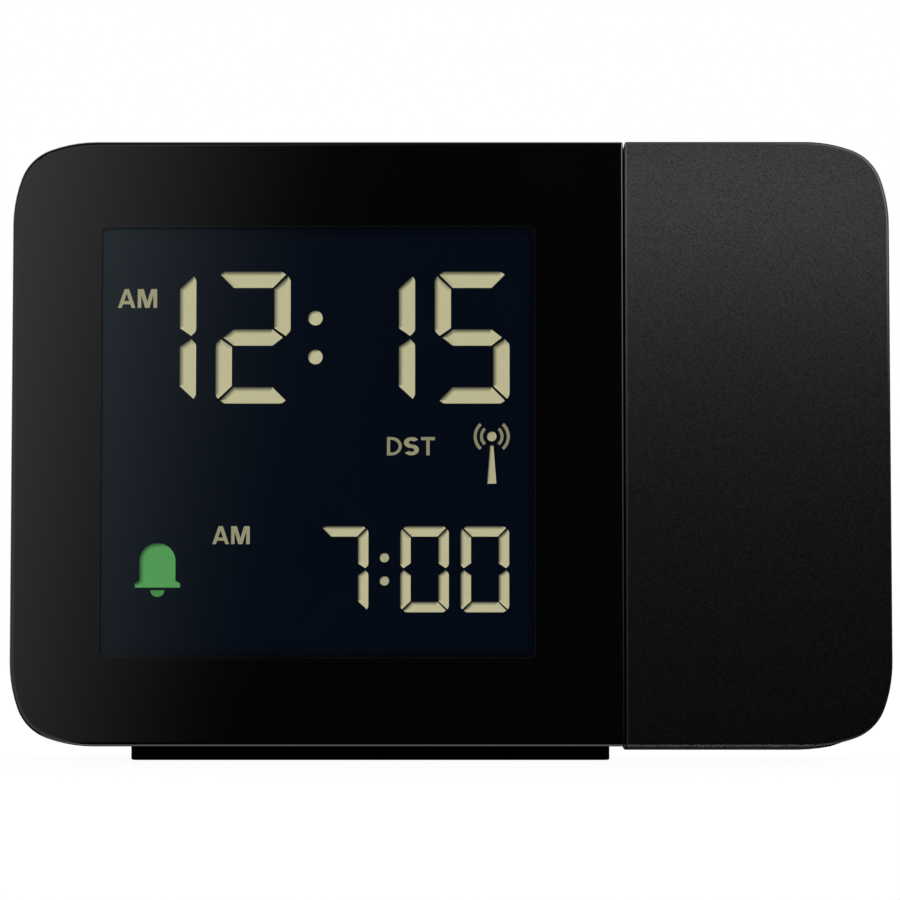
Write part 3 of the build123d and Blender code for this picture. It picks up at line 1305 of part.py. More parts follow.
# Projector arm
def make_arm_shell():
    shell = slab(outline(ARM_LEFT, RIGHT), FRONT, ARM_BACK)
    rims = shell.faces().sort_by(Axis.Y)[0].edges() + shell.faces().sort_by(Axis.Y)[-1].edges()
    seam_rims = rims.filter_by_position(Axis.X, ARM_LEFT - FIT, ARM_LEFT + FIT)
    shell = fillet([edge for edge in rims if edge not in seam_rims], EDGE_RADIUS)
    shell = fillet(shell.faces().sort_by(Axis.X)[0].edges(), SEAM_EDGE_RADIUS) + arm_belly()
    shell -= slab(outline(ARM_LEFT - OVERRUN, RIGHT, WALL), ARM_FRONT_INSIDE, ARM_BACK_INSIDE)
    pilot = ARM_SCREW_RADIUS + RUNNING_GAP
    for z in arm_boss_heights():
        shell += rod(ARM_BOSS_RADIUS, (PLATE_INSIDE, PIVOT_Y, z), (ARM_INSIDE + FIT, PIVOT_Y, z))
        pilot_end = ARM_LEFT + ARM_SCREW_SINK + ARM_SCREW_LENGTH + PILOT_SPARE
        shell -= rod(pilot, (PLATE_INSIDE - OVERRUN, PIVOT_Y, z), (pilot_end, PIVOT_Y, z))
    shell += plate_stops()
    shell += tab_bosses()
    opening = RING_RADIUS + RING_OPENING_GAP
    return shell - rod(opening, (LENS_X, LENS_Y, TOP_INSIDE - OVERRUN), (LENS_X, LENS_Y, TOP + OVERRUN))


def arm_belly():
    """Slight swell of the arm's underside, lowest half-way between its front and its back."""
    left = ARM_LEFT + SEAM_EDGE_RADIUS
    front, back = FRONT + EDGE_RADIUS, ARM_BACK - EDGE_RADIUS
    half_span = (back - front) / 2
    radius = (half_span**2 + ARM_BELLY**2) / (2 * ARM_BELLY)
    axis_y, axis_z = (front + back) / 2, BOTTOM - ARM_BELLY + radius
    swell = Pos(0, 0, -ARM_BELLY) * slab(outline(left, RIGHT - ARM_BELLY_END), front, back)
    swell &= rod(radius, (left, axis_y, axis_z), (RIGHT, axis_y, axis_z))
    return swell & block((left, RIGHT), (front, back), (BOTTOM - 2 * ARM_BELLY, BOTTOM + WALL / 2))


def arm_boss_heights():
    return [BOTTOM_INSIDE + rise for rise in ARM_BOSS_RISES]


def plate_stops():
    """Small blocks under the top wall that the side plate stops against."""
    x = (PLATE_INSIDE, PLATE_INSIDE + PLATE_STOP_LENGTH)
    z = (TOP_INSIDE - PLATE_STOP, TOP_INSIDE + FIT)
    front = (ARM_FRONT_INSIDE - FIT, ARM_FRONT_INSIDE + PLATE_STOP)
    back = (ARM_BACK_INSIDE - PLATE_STOP, ARM_BACK_INSIDE + FIT)
    return [block(x, y, z) for y in (front, back)]


def tab_places():
    """Middles of the two tabs that fix the projector tube."""
    offset = TUBE_RADIUS + TAB_LENGTH / 2
    return [(LENS_X + side * offset, TUBE_LOW + TAB_RISE) for side in (-1, 1)]


def tab_bosses():
    """Bosses on the inside of the arm's front wall, under the tube's tabs."""
    boss_end = ARM_FRONT_INSIDE + TAB_BOSS_LENGTH
    pilot = TAB_SCREW_RADIUS + RUNNING_GAP
    bosses = []
    for x, z in tab_places():
        boss = rod(TAB_BOSS_RADIUS, (x, ARM_FRONT_INSIDE - FIT, z), (x, boss_end, z))
        bosses.append(boss - rod(pilot, (x, ARM_FRONT_INSIDE, z), (x, boss_end + OVERRUN, z)))
    return bosses


def make_arm_side_plate():
    side = outline(ARM_LEFT, RIGHT, WALL + FIT)
    profile = slab(side, ARM_FRONT_INSIDE + FIT, ARM_BACK_INSIDE - FIT)
    cut = block((ARM_LEFT, PLATE_INSIDE), (FRONT, ARM_BACK), (BOTTOM, TOP))
    side_plate = profile & cut
    start, end = ARM_LEFT - OVERRUN, PLATE_INSIDE + OVERRUN
    side_plate -= rod(HUB_RADIUS + RUNNING_GAP, on_axis(start), on_axis(end))
    for y, z in hub_screw_places():
        side_plate -= rod(HUB_SCREW_RADIUS + RUNNING_GAP, (start, y, z), (end, y, z))
    for z in arm_boss_heights():
        side_plate -= rod(ARM_SCREW_RADIUS + FIT, (start, PIVOT_Y, z), (end, PIVOT_Y, z))
        sink = (ARM_LEFT + ARM_SCREW_SINK, PIVOT_Y, z)
        side_plate -= rod(ARM_SCREW_HEAD_RADIUS + FIT, (start, PIVOT_Y, z), sink)
    return side_plate


def make_arm_screws():
    head_height = ARM_SCREW_SINK - FIT
    return Compound(
        children=[
            screw(
                ARM_SCREW_RADIUS,
                ARM_SCREW_HEAD_RADIUS,
                head_height,
                ARM_SCREW_LENGTH,
                (ARM_LEFT + ARM_SCREW_SINK, PIVOT_Y, z),
                (1, 0, 0),
            )
            for z in arm_boss_heights()
        ]
    )


# Projector
def on_lens_axis(z):
    """Point on the projector's axis."""
    return LENS_X, LENS_Y, z


def projector_screw_places():
    reach = PROJECTOR_BOARD_SIZE / 2 - PROJECTOR_SCREW_INSET
    return [(LENS_X + side * reach, LENS_Y + side * reach) for side in (-1, 1)]


def make_projector_tube():
    body = rod(TUBE_RADIUS, on_lens_axis(TUBE_LOW), on_lens_axis(TUBE_TOP))
    flange = Pos(LENS_X, LENS_Y) * RectangleRounded(FLANGE_SIZE, FLANGE_SIZE, PROJECTOR_SCREW_INSET)
    body += plate(flange, TUBE_LOW, TUBE_LOW + FLANGE_HEIGHT)
    tab_front = ARM_FRONT_INSIDE + TAB_BOSS_LENGTH
    pilot = TAB_SCREW_RADIUS + FIT
    for x, z in tab_places():
        tab_x = sorted((LENS_X, x + math.copysign(TAB_LENGTH / 2, x - LENS_X)))
        tab_z = (z - TAB_HEIGHT / 2, z + TAB_HEIGHT / 2)
        body += block(tab_x, (tab_front, tab_front + TAB_THICKNESS), tab_z)
        body -= rod(pilot, (x, tab_front - OVERRUN, z), (x, tab_front + TAB_THICKNESS + OVERRUN, z))
    body -= rod(TUBE_BORE_RADIUS, on_lens_axis(TUBE_LOW - OVERRUN), on_lens_axis(TUBE_TOP + OVERRUN))
    for rise in (CONDENSER_RISE, GATE_RISE):
        seat = TUBE_LOW + rise
        low, high = on_lens_axis(seat - SHOULDER_HEIGHT), on_lens_axis(seat)
        body += tube(TUBE_BORE_RADIUS + FIT, SHOULDER_RADIUS, low, high)
    for x, y in projector_screw_places():
        pilot_top = PROJECTOR_BOARD_LOW + PROJECTOR_SCREW_LENGTH + RUNNING_GAP
        body -= rod(PROJECTOR_SCREW_RADIUS + RUNNING_GAP, (x, y, TUBE_LOW - OVERRUN), (x, y, pilot_top))
    return body - barrel_key(BARREL_KEY_GAP, FOCUS_TRAVEL + BARREL_KEY_GAP)


def barrel_key(grow=0.0, z_grow=0.0):
    """Key on the lens barrel that stops it turning, or the slot that it runs in."""
    middle = BARREL_LOW + BARREL_KEY_LENGTH / 2
    y = (LENS_Y, LENS_Y + CELL_BARREL_RADIUS + BARREL_KEY_REACH + grow)
    half_x = BARREL_KEY_WIDTH / 2 + grow
    half_z = BARREL_KEY_LENGTH / 2 + z_grow
    return block((LENS_X - half_x, LENS_X + half_x), y, (middle - half_z, middle + half_z))


def make_condenser_lens():
    seat = on_lens_axis(TUBE_LOW + CONDENSER_RISE)
    return lens(CONDENSER_RADIUS, CONDENSER_EDGE, CONDENSER_BULGE, seat)


def make_projector_lcd():
    seat = TUBE_LOW + GATE_RISE
    return plate(Pos(LENS_X, LENS_Y) * Rectangle(GATE_SIZE, GATE_SIZE), seat, seat + GATE_THICKNESS)


def make_projector_board():
    face = RectangleRounded(PROJECTOR_BOARD_SIZE, PROJECTOR_BOARD_SIZE, PROJECTOR_SCREW_INSET)
    board = plate(Pos(LENS_X, LENS_Y) * face, PROJECTOR_BOARD_LOW, TUBE_LOW)
    low, high = PROJECTOR_BOARD_LOW - OVERRUN, TUBE_LOW + OVERRUN
    for x, y in projector_screw_places():
        board -= rod(PROJECTOR_SCREW_RADIUS + FIT, (x, y, low), (x, y, high))
    return board


def make_projector_led():
    face = Pos(LENS_X, LENS_Y) * Rectangle(PROJECTOR_LED_SIZE, PROJECTOR_LED_SIZE)
    base = plate(face, TUBE_LOW, TUBE_LOW + PROJECTOR_LED_BASE)
    dome = Pos(*on_lens_axis(TUBE_LOW)) * Sphere(PROJECTOR_LED_HEIGHT)
    return base + (dome & plate(face, TUBE_LOW, TUBE_LOW + PROJECTOR_LED_HEIGHT + OVERRUN))


def make_projector_plug():
    low = PROJECTOR_BOARD_LOW
    half = PLUG_WIDTH / 2
    x = (LEAD_PLUG_ARM_X - PLUG_LENGTH, LEAD_PLUG_ARM_X)
    return block(x, (LENS_Y - half, LENS_Y + half), (PIVOT_Z - PLUG_HEIGHT / 2, low))


def make_projector_screws():
    screws = [
        screw(
            PROJECTOR_SCREW_RADIUS,
            PROJECTOR_SCREW_HEAD_RADIUS,
            PROJECTOR_SCREW_HEAD_HEIGHT,
            PROJECTOR_SCREW_LENGTH,
            (x, y, PROJECTOR_BOARD_LOW),
            (0, 0, 1),
        )
        for x, y in projector_screw_places()
    ]
    tab_back = ARM_FRONT_INSIDE + TAB_BOSS_LENGTH + TAB_THICKNESS
    screws += [
        screw(
            TAB_SCREW_RADIUS,
            TAB_SCREW_HEAD_RADIUS,
            TAB_SCREW_HEAD_HEIGHT,
            TAB_SCREW_LENGTH,
            (x, tab_back, z),
            (0, -1, 0),
        )
        for x, z in tab_places()
    ]
    return Compound(children=screws)


def make_lens_barrel():
    barrel = rod(CELL_BARREL_RADIUS, on_lens_axis(BARREL_LOW), on_lens_axis(BARREL_TOP))
    barrel += barrel_key()
    barrel -= rod(LENS_BORE_RADIUS, on_lens_axis(BARREL_LOW - OVERRUN), on_lens_axis(BARREL_TOP + OVERRUN))
    mouth = on_lens_axis(BARREL_TOP + OVERRUN)
    return barrel - rod(LENS_RADIUS + RUNNING_GAP, on_lens_axis(LENS_SEAT), mouth)


def make_projection_lens():
    return lens(LENS_RADIUS, LENS_EDGE, LENS_BULGE, on_lens_axis(LENS_SEAT))


def make_focus_ring():
    bore = CELL_BARREL_RADIUS + BARREL_KEY_GAP
    ring = tube(RING_RADIUS, bore, on_lens_axis(RING_LOW), on_lens_axis(RING_TOP))
    outer_rim = ring.edges().filter_by(GeomType.CIRCLE).group_by(Axis.Z)[-1].sort_by(SortBy.RADIUS)[-1]
    ring = chamfer(outer_rim, RING_CHAMFER)
    ring += tube(RING_FLANGE_RADIUS, bore, on_lens_axis(RING_LOW), on_lens_axis(RING_FLANGE_TOP))
    for i in range(RING_NOTCH_COUNT):
        angle = 2 * math.pi * i / RING_NOTCH_COUNT
        x = LENS_X + RING_RADIUS * math.cos(angle)
        y = LENS_Y + RING_RADIUS * math.sin(angle)
        ring -= rod(RING_NOTCH_RADIUS, (x, y, RING_FLANGE_TOP + RING_SHAKE), (x, y, TOP))
    return ring


# Lead through the hollow hub
def make_lead_body_side():
    return rod(LEAD_RADIUS, on_axis(LEAD_PLUG_X + PLUG_LENGTH), on_axis(LEAD_MEET))


def make_lead_arm_side():
    return rod(LEAD_RADIUS, on_axis(LEAD_MEET), on_axis(LEAD_PLUG_ARM_X - PLUG_LENGTH))


PIECES = {
    "front_panel": make_front_panel,
    "display_window": make_display_window,
    "lcd_glass": make_lcd_glass,
    "lcd_segments": make_lcd_segments,
    "lcd_bell": make_lcd_bell,
    "light_guide": make_light_guide,
    "backlight_leds": make_backlight_leds,
    "lcd_tray": make_lcd_tray,
    "contact_strip": make_contact_strip,
    "main_board": make_main_board,
    "board_screws": make_board_screws,
    "board_components": make_board_components,
    "receiver_board": make_receiver_board,
    "receiver_header": make_receiver_header,
    "antenna_rod": make_antenna_rod,
    "antenna_coil": make_antenna_coil,
    "main_shell": make_main_shell,
    "foot": make_foot,
    "snooze_bar": make_snooze_bar,
    "snooze_switch": make_snooze_switch,
    "rear_cover": make_rear_cover,
    "rear_screws": make_rear_screws,
    "key_board": make_key_board,
    "key_board_screws": make_key_board_screws,
    "key_switches": make_key_switches,
    "slide_switch": make_slide_switch,
    "alarm_switch": make_alarm_switch,
    "battery_bay": make_battery_bay,
    "battery_cells": make_battery_cells,
    "battery_contacts": make_battery_contacts,
    "battery_door": make_battery_door,
    "power_inlet": make_power_inlet,
    "sounder": make_sounder,
    "pivot_bush": make_pivot_bush,
    "friction_washer": make_friction_washer,
    "pivot_clip": make_pivot_clip,
    "pivot_hub": make_pivot_hub,
    "hub_screws": make_hub_screws,
    "arm_shell": make_arm_shell,
    "arm_side_plate": make_arm_side_plate,
    "arm_screws": make_arm_screws,
    "projector_tube": make_projector_tube,
    "condenser_lens": make_condenser_lens,
    "projector_lcd": make_projector_lcd,
    "projector_board": make_projector_board,
    "projector_led": make_projector_led,
    "projector_plug": make_projector_plug,
    "projector_screws": make_projector_screws,
    "lens_barrel": make_lens_barrel,
    "projection_lens": make_projection_lens,
    "focus_ring": make_focus_ring,
    "lead_body_side": make_lead_body_side,
    "lead_arm_side": make_lead_arm_side,
}

os.makedirs("parts", exist_ok=True)
for name, make in PIECES.items():
    export_step(make(), f"parts/{name}.step")
for name, key_x in zip(KEY_NAMES, KEY_PLACES):
    export_step(make_key(key_x), f"parts/{name}.step")
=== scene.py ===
import math

import bmesh
import bpy
from mathutils import Matrix, Vector


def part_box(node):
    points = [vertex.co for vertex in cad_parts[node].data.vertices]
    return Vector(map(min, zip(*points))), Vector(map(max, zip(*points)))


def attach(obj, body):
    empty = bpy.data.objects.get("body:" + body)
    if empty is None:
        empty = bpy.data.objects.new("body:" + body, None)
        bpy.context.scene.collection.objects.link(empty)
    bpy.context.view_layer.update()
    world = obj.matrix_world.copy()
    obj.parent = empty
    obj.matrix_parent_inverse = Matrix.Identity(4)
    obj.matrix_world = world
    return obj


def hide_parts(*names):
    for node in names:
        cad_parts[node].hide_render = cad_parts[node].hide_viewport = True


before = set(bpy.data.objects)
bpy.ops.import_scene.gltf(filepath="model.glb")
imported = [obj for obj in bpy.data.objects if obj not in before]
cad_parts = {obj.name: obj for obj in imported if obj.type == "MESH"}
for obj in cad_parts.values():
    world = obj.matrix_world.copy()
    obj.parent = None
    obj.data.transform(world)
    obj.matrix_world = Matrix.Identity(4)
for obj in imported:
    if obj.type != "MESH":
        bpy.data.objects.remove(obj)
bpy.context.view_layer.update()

# Display glass: a dark negative liquid-crystal cell, two bonded panes with a black mask on them.
# It is clamped in its tray behind the window. It glows a faint uneven blue, and near the window
# opening's edges the glow fades out as painted shade under those edges.


def new_finish(name, **sockets):
    """A material with its constant shader values set; gives its node tree and shader."""
    finish = bpy.data.materials.new(name)
    finish.use_nodes = True
    tree = finish.node_tree
    shader = tree.nodes["Principled BSDF"]
    for socket, value in sockets.items():
        shader.inputs[socket.replace("_", " ")].default_value = value
    return finish, tree, shader


def add_node(tree, kind, links=(), **values):
    """A node with its inputs set, each from a value or from another node's output."""
    node = tree.nodes.new(kind)
    for name, value in values.items():
        setattr(node, name, value)
    for socket, value in links:
        if isinstance(value, bpy.types.NodeSocket):
            tree.links.new(value, node.inputs[socket])
        else:
            node.inputs[socket].default_value = value
    return node


def blotches(tree, scale, detail=3.0):
    """Soft random field over the object's own coordinates, scale in patches per metre."""
    place = add_node(tree, "ShaderNodeTexCoord").outputs["Object"]
    links = [("Vector", place), ("Scale", scale), ("Detail", detail)]
    return add_node(tree, "ShaderNodeTexNoise", links).outputs["Fac"]


def between(tree, share, low, high):
    """Colour that runs from low to high as share goes from 0 to 1."""
    mix = add_node(tree, "ShaderNodeMix", data_type="RGBA")
    for index, value in ((0, share), (6, low), (7, high)):
        if isinstance(value, bpy.types.NodeSocket):
            tree.links.new(value, mix.inputs[index])
        else:
            mix.inputs[index].default_value = value
    return mix.outputs[2]


NOISE_LOW, NOISE_HIGH = 0.3, 0.7


def spread(tree, share, low=0.0, high=1.0):
    """Value that runs from low to high over the range that a noise mostly keeps to."""
    return add_node(tree, "ShaderNodeMapRange", [
        ("Value", share), ("From Min", NOISE_LOW), ("From Max", NOISE_HIGH),
        ("To Min", low), ("To Max", high),
    ]).outputs["Result"]


def sum_node(tree, operation, first, second):
    """One sum, named by its operation, of two values or outputs."""
    links = [(0, first), (1, second)]
    return add_node(tree, "ShaderNodeMath", links, operation=operation).outputs[0]


def dress(finish, *nodes):
    """Gives CAD nodes their finish."""
    for name in nodes:
        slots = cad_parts[name].data.materials
        for index in range(len(slots)):
            slots[index] = finish


lcd_finish, tree, shader = new_finish(
    "navy_display_glass", Roughness=0.3, Specular_IOR_Level=0.1, Emission_Strength=1.0
)
blue_blotches = blotches(tree, 24.0)
tree.links.new(between(tree, blue_blotches, (0.0006, 0.0007, 0.0011, 1), (0.0008, 0.001, 0.0017, 1)),
               shader.inputs["Base Color"])
OPENING = {"X": (-0.0540, 0.0130), "Z": (0.0156, 0.0821)}
# Painted shade: the glow fades out from 2 mm inside the opening's edges to 1 mm beyond them.
EDGE_SHADE_FADE = (-0.001, 0.002)
place = add_node(tree, "ShaderNodeTexCoord").outputs["Object"]
along = add_node(tree, "ShaderNodeSeparateXYZ", [("Vector", place)]).outputs
inside = None
for axis, (low, high) in OPENING.items():
    for first, second in ((along[axis], low), (high, along[axis])):
        way = sum_node(tree, "SUBTRACT", first, second)
        inside = way if inside is None else sum_node(tree, "MINIMUM", inside, way)
lit = add_node(tree, "ShaderNodeMapRange", [
    ("Value", inside), ("From Min", EDGE_SHADE_FADE[0]), ("From Max", EDGE_SHADE_FADE[1])
]).outputs["Result"]
glow = between(tree, blue_blotches, (0.0006, 0.0023, 0.0068, 1), (0.0009, 0.0029, 0.0081, 1))
tree.links.new(between(tree, lit, (0.0001, 0.0002, 0.0004, 1), glow),
               shader.inputs["Emission Color"])
dress(lcd_finish, "lcd_glass")

# Lit strokes of the display: clear openings in the black mask, where the cream reflector shows;
# they glow, a painted light for the lit reflector. Each lies a little below the mask's face, and a
# soft shadow from the mask's upper left edges is painted into its colour.

STROKE_SINK = 0.0001
STROKE_RIM = 0.00078
STROKE_RIM_SPAN = 0.0024
# Painted shadow on the signs: where it falls from, its greatest darkening, and the width under
# which a whole sign is shaded.
SHADE_FROM = Vector((-0.9, 0.0, 1.0))
SHADE_MOST = 0.95
SHADE_SPAN = 0.0011
FACES_FRONT = -0.9
MERGE = 1e-7
UNEVEN_SHARE, UNLIT_SHARE = 0.94, 0.1


def islands(faces):
    """Splits faces into groups joined by shared edges."""
    found, groups = set(), []
    for first in faces:
        group, waiting = [], [first]
        while waiting:
            face = waiting.pop()
            if face in faces and face not in found:
                found.add(face)
                group.append(face)
                waiting += [f for e in face.edges for f in e.link_faces]
        if group:
            groups.append(group)
    return groups


def piece_from(shape, name, finish, body):
    """Makes a finished bmesh a piece that rides on a body."""
    mesh = bpy.data.meshes.new(name)
    shape.to_mesh(mesh)
    shape.free()
    mesh.materials.append(finish)
    piece = bpy.data.objects.new(name, mesh)
    bpy.context.scene.collection.objects.link(piece)
    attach(piece, body)
    return piece


def sunk_sign(sign, name, finish, even=True, body="clock_body"):
    """Sinks the front of a flat sign's solids, marks its walls for painted shadow and makes it a
    piece.
    """
    shade = sign.loops.layers.float.new("shade")
    sign.normal_update()
    for group in islands([f for f in sign.faces if f.normal.y < FACES_FRONT]):
        area = sum(f.calc_area() for f in group)
        border = sum(e.calc_length() for f in group for e in f.edges
                     if not all(x in group for x in e.link_faces))
        span = 2 * area / border
        walls = bmesh.ops.inset_region(
            sign, faces=group, thickness=min(STROKE_RIM, span**2 / STROKE_RIM_SPAN),
            depth=-STROKE_SINK, use_even_offset=even, use_boundary=True,
        )["faces"]
        inner = {v for f in group for v in f.verts}
        # Painted shade: narrow signs are darkened over their whole face, and walls facing
        # SHADE_FROM get painted shadow at their outer edge.
        least = max(0.0, 1 - span / SHADE_SPAN)
        for loop in [x for f in (*group, *walls) for x in f.loops]:
            loop[shade] = least
        for wall in walls:
            outer = [loop for loop in wall.loops if loop.vert not in inner]
            high = [loop.vert.co for loop in outer]
            low = [loop.vert.co for loop in wall.loops if loop.vert in inner]
            away = sum(high, Vector()) / len(high) - sum(low, Vector()) / len(low)
            away.y = 0.0
            dark = min(1.0, max(least, away.normalized().dot(SHADE_FROM)))
            for loop in outer:
                loop[shade] = dark
    return piece_from(sign, name, finish, body)


def merged_copy(node):
    """A CAD node's mesh with its loose triangles joined into whole faces."""
    copy = bmesh.new()
    copy.from_mesh(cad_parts[node].data)
    bmesh.ops.remove_doubles(copy, verts=copy.verts, dist=MERGE)
    bmesh.ops.dissolve_limit(copy, angle_limit=math.radians(1), verts=copy.verts, edges=copy.edges)
    return copy


def dimmed(colour, share):
    """A share of a colour."""
    return (*[share * c for c in colour[:3]], 1)


def lit_finish(name, face, shadow):
    """Glowing sign colour, a painted light, with painted shade that darkens it towards the marked
    walls.
    """
    finish, tree, shader = new_finish(
        name, Roughness=0.5, Specular_IOR_Level=0.1, Emission_Strength=1.0
    )
    mark = add_node(tree, "ShaderNodeAttribute", attribute_name="shade").outputs["Fac"]
    dark = add_node(tree, "ShaderNodeMapRange", [("Value", mark), ("To Max", SHADE_MOST)],
                    interpolation_type="SMOOTHSTEP").outputs["Result"]
    uneven = between(tree, blotches(tree, 900.0), face, dimmed(face, UNEVEN_SHARE))
    tree.links.new(between(tree, dark, dimmed(face, UNLIT_SHARE), dimmed(shadow, UNLIT_SHARE)),
                   shader.inputs["Base Color"])
    tree.links.new(between(tree, dark, uneven, shadow), shader.inputs["Emission Color"])
    return finish


cream_finish = lit_finish("lit_cream", (0.57, 0.545, 0.325, 1), (0.075, 0.075, 0.045, 1))
strokes = sunk_sign(merged_copy("lcd_segments"), "display_strokes", cream_finish)
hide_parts("lcd_segments")

# Alarm bell of the display: an opening in the same mask, over a patch of green colour film.
# It lies level with the strokes, glows like them as painted light, and has the same soft shadow
# from the mask's edge painted into its colour.

green_finish = lit_finish("lit_green", (0.092, 0.35, 0.092, 1), (0.02, 0.09, 0.025, 1))
bell = sunk_sign(merged_copy("lcd_bell"), "display_bell", green_finish)
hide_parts("lcd_bell")

# Small words of the display, AM twice and DST once: openings in the mask like the strokes.
# Their bold letters lie level with the strokes, on the display glass.

WORD_FRONT, WORD_BACK = -0.0183, -0.01815
ARC_STEPS = 10
WORDS = (
    ("word_am_time", "AM", (-0.0514, -0.04535), (0.0696, 0.07252)),
    ("word_am_alarm", "AM", (-0.03668, -0.03092), (0.03314, 0.03592)),
    ("word_dst", "DST", (-0.00987, -0.00248), (0.0468, 0.04964)),
)
STRAIGHT_LETTERS = {
    "A": (0.9, (
        ((0, 0), (0.195, 0), (0.2587, 0.19), (0.319, 0.37), (0.45, 0.761), (0.45, 1), (0.335, 1)),
        ((0.9, 0), (0.565, 1), (0.45, 1), (0.45, 0.761), (0.581, 0.37), (0.6413, 0.19), (0.705, 0)),
        ((0.2587, 0.19), (0.6413, 0.19), (0.581, 0.37), (0.319, 0.37)),
    )),
    "M": (1.0, ((
        (0, 0), (0.185, 0), (0.185, 0.72), (0.39, 0), (0.61, 0), (0.815, 0.72), (0.815, 0), (1, 0),
        (1, 1), (0.69, 1), (0.5, 0.33), (0.31, 1), (0, 1),
    ),)),
    "T": (0.78, (
        ((0, 0.825), (0.295, 0.825), (0.485, 0.825), (0.78, 0.825), (0.78, 1), (0, 1)),
        ((0.295, 0), (0.485, 0), (0.485, 0.825), (0.295, 0.825)),
    )),
}
STEM, BOWL_SHARE, BOWL_SPAN, D_ROUND, D_SPACE = 0.18, 0.88, 0.5, 1.15, 0.085
S_STROKE, S_ROUND, S_TURN = 0.195, 1.45, 240
LETTER_SPACE, LETTER_MERGE = 0.11, 1e-4


def corners_of(geom):
    """The vertices among what an operator gives back."""
    return [x for x in geom if isinstance(x, bmesh.types.BMVert)]


def spun_arc(letter, ends, centre, degrees):
    """Sweeps a stroke's short end round a centre; gives the far end's vertices."""
    edge = letter.edges.new(ends)
    turned = bmesh.ops.spin(
        letter, geom=[edge, *ends], cent=(centre[0], 0, centre[1]), axis=(0, -1, 0),
        angle=math.radians(degrees), steps=ARC_STEPS, use_merge=False,
    )
    return corners_of(turned["geom_last"])


def flat_letter(sign):
    """One letter in its own grid, a letter's height being 1; gives its mesh and width."""
    letter = bmesh.new()
    if sign in STRAIGHT_LETTERS:
        width, faces = STRAIGHT_LETTERS[sign]
        for face in faces:
            letter.faces.new([letter.verts.new((x, 0, z)) for x, z in face])
    elif sign == "D":
        ends = [letter.verts.new((0, 0, z)) for z in (0, STEM * BOWL_SHARE)]
        top = spun_arc(letter, ends, (0, BOWL_SPAN), 180)
        bmesh.ops.scale(letter, vec=(D_ROUND, 1, 1), verts=letter.verts)
        width = STEM + BOWL_SPAN * D_ROUND + D_SPACE
        bmesh.ops.translate(letter, vec=(width - BOWL_SPAN * D_ROUND, 0, 0), verts=letter.verts)
        bottom = [v.co.copy() for v in ends]
        high = [v.co.copy() for v in sorted(top, key=lambda v: v.co.z)]
        for low, up in ((bottom[0], bottom[1]), (high[0], high[1])):
            letter.faces.new([letter.verts.new(p) for p in (
                (STEM, 0, low.z), (low.x, 0, low.z), (up.x, 0, up.z), (STEM, 0, up.z))])
        heights = (0, bottom[1].z, high[0].z, 1)
        letter.faces.new([letter.verts.new((0, 0, z)) for z in reversed(heights)]
                         + [letter.verts.new((STEM, 0, z)) for z in heights])
    else:
        reach = (1 + S_STROKE) / 4
        joint = [(0, 0.5 - S_STROKE / 2), (0, 0.5 + S_STROKE / 2)]
        for centre in (1 - reach, reach):
            ends = [letter.verts.new((x, 0, z)) for x, z in joint]
            spun_arc(letter, ends, (0, centre), -S_TURN)
        bmesh.ops.scale(letter, vec=(S_ROUND, 1, 1), verts=letter.verts)
        low = min(v.co.x for v in letter.verts)
        width = max(v.co.x for v in letter.verts) - low
        bmesh.ops.translate(letter, vec=(-low, 0, 0), verts=letter.verts)
    bmesh.ops.remove_doubles(letter, verts=letter.verts, dist=LETTER_MERGE)
    return letter, width


for name, letters, across, height in WORDS:
    word, pen = bmesh.new(), 0.0
    for sign in letters:
        letter, width = flat_letter(sign)
        bmesh.ops.translate(letter, vec=(pen, 0, 0), verts=letter.verts)
        mesh = bpy.data.meshes.new("letter")
        letter.to_mesh(mesh)
        letter.free()
        word.from_mesh(mesh)
        bpy.data.meshes.remove(mesh)
        pen += width + LETTER_SPACE
    size = pen - LETTER_SPACE
    bmesh.ops.scale(word, verts=word.verts,
                    vec=((across[1] - across[0]) / size, 1, height[1] - height[0]))
    bmesh.ops.translate(word, vec=(across[0], WORD_FRONT, height[0]), verts=word.verts)
    for face in word.faces:
        face.normal_update()
        if face.normal.y > 0:
            face.normal_flip()
    fronts = list(word.faces)
    back = bmesh.ops.extrude_face_region(word, geom=fronts, use_keep_orig=True)["geom"]
    bmesh.ops.translate(word, vec=(0, WORD_BACK - WORD_FRONT, 0), verts=corners_of(back))
    bmesh.ops.recalc_face_normals(word, faces=word.faces)
    # The words glow as painted light and take the same painted shadow as the strokes.
    sunk_sign(word, name, cream_finish, even=False)

# Light guide, its lamps, the tray and the rubber contact strip behind the display glass.
# The guide is polished acrylic and the tray white moulded plastic.
# The tray clamps the whole stack to the panel.

guide_finish, tree, shader = new_finish("guide_acrylic", Transmission_Weight=1.0, IOR=1.49)
dots = blotches(tree, 1200.0)
tree.links.new(between(tree, dots, (0.9, 0.92, 0.93, 1), (0.97, 0.98, 0.98, 1)),
               shader.inputs["Base Color"])
tree.links.new(spread(tree, dots, 0.02, 0.2), shader.inputs["Roughness"])
dress(guide_finish, "light_guide")

CLOUDS_PER_METRE = 40.0


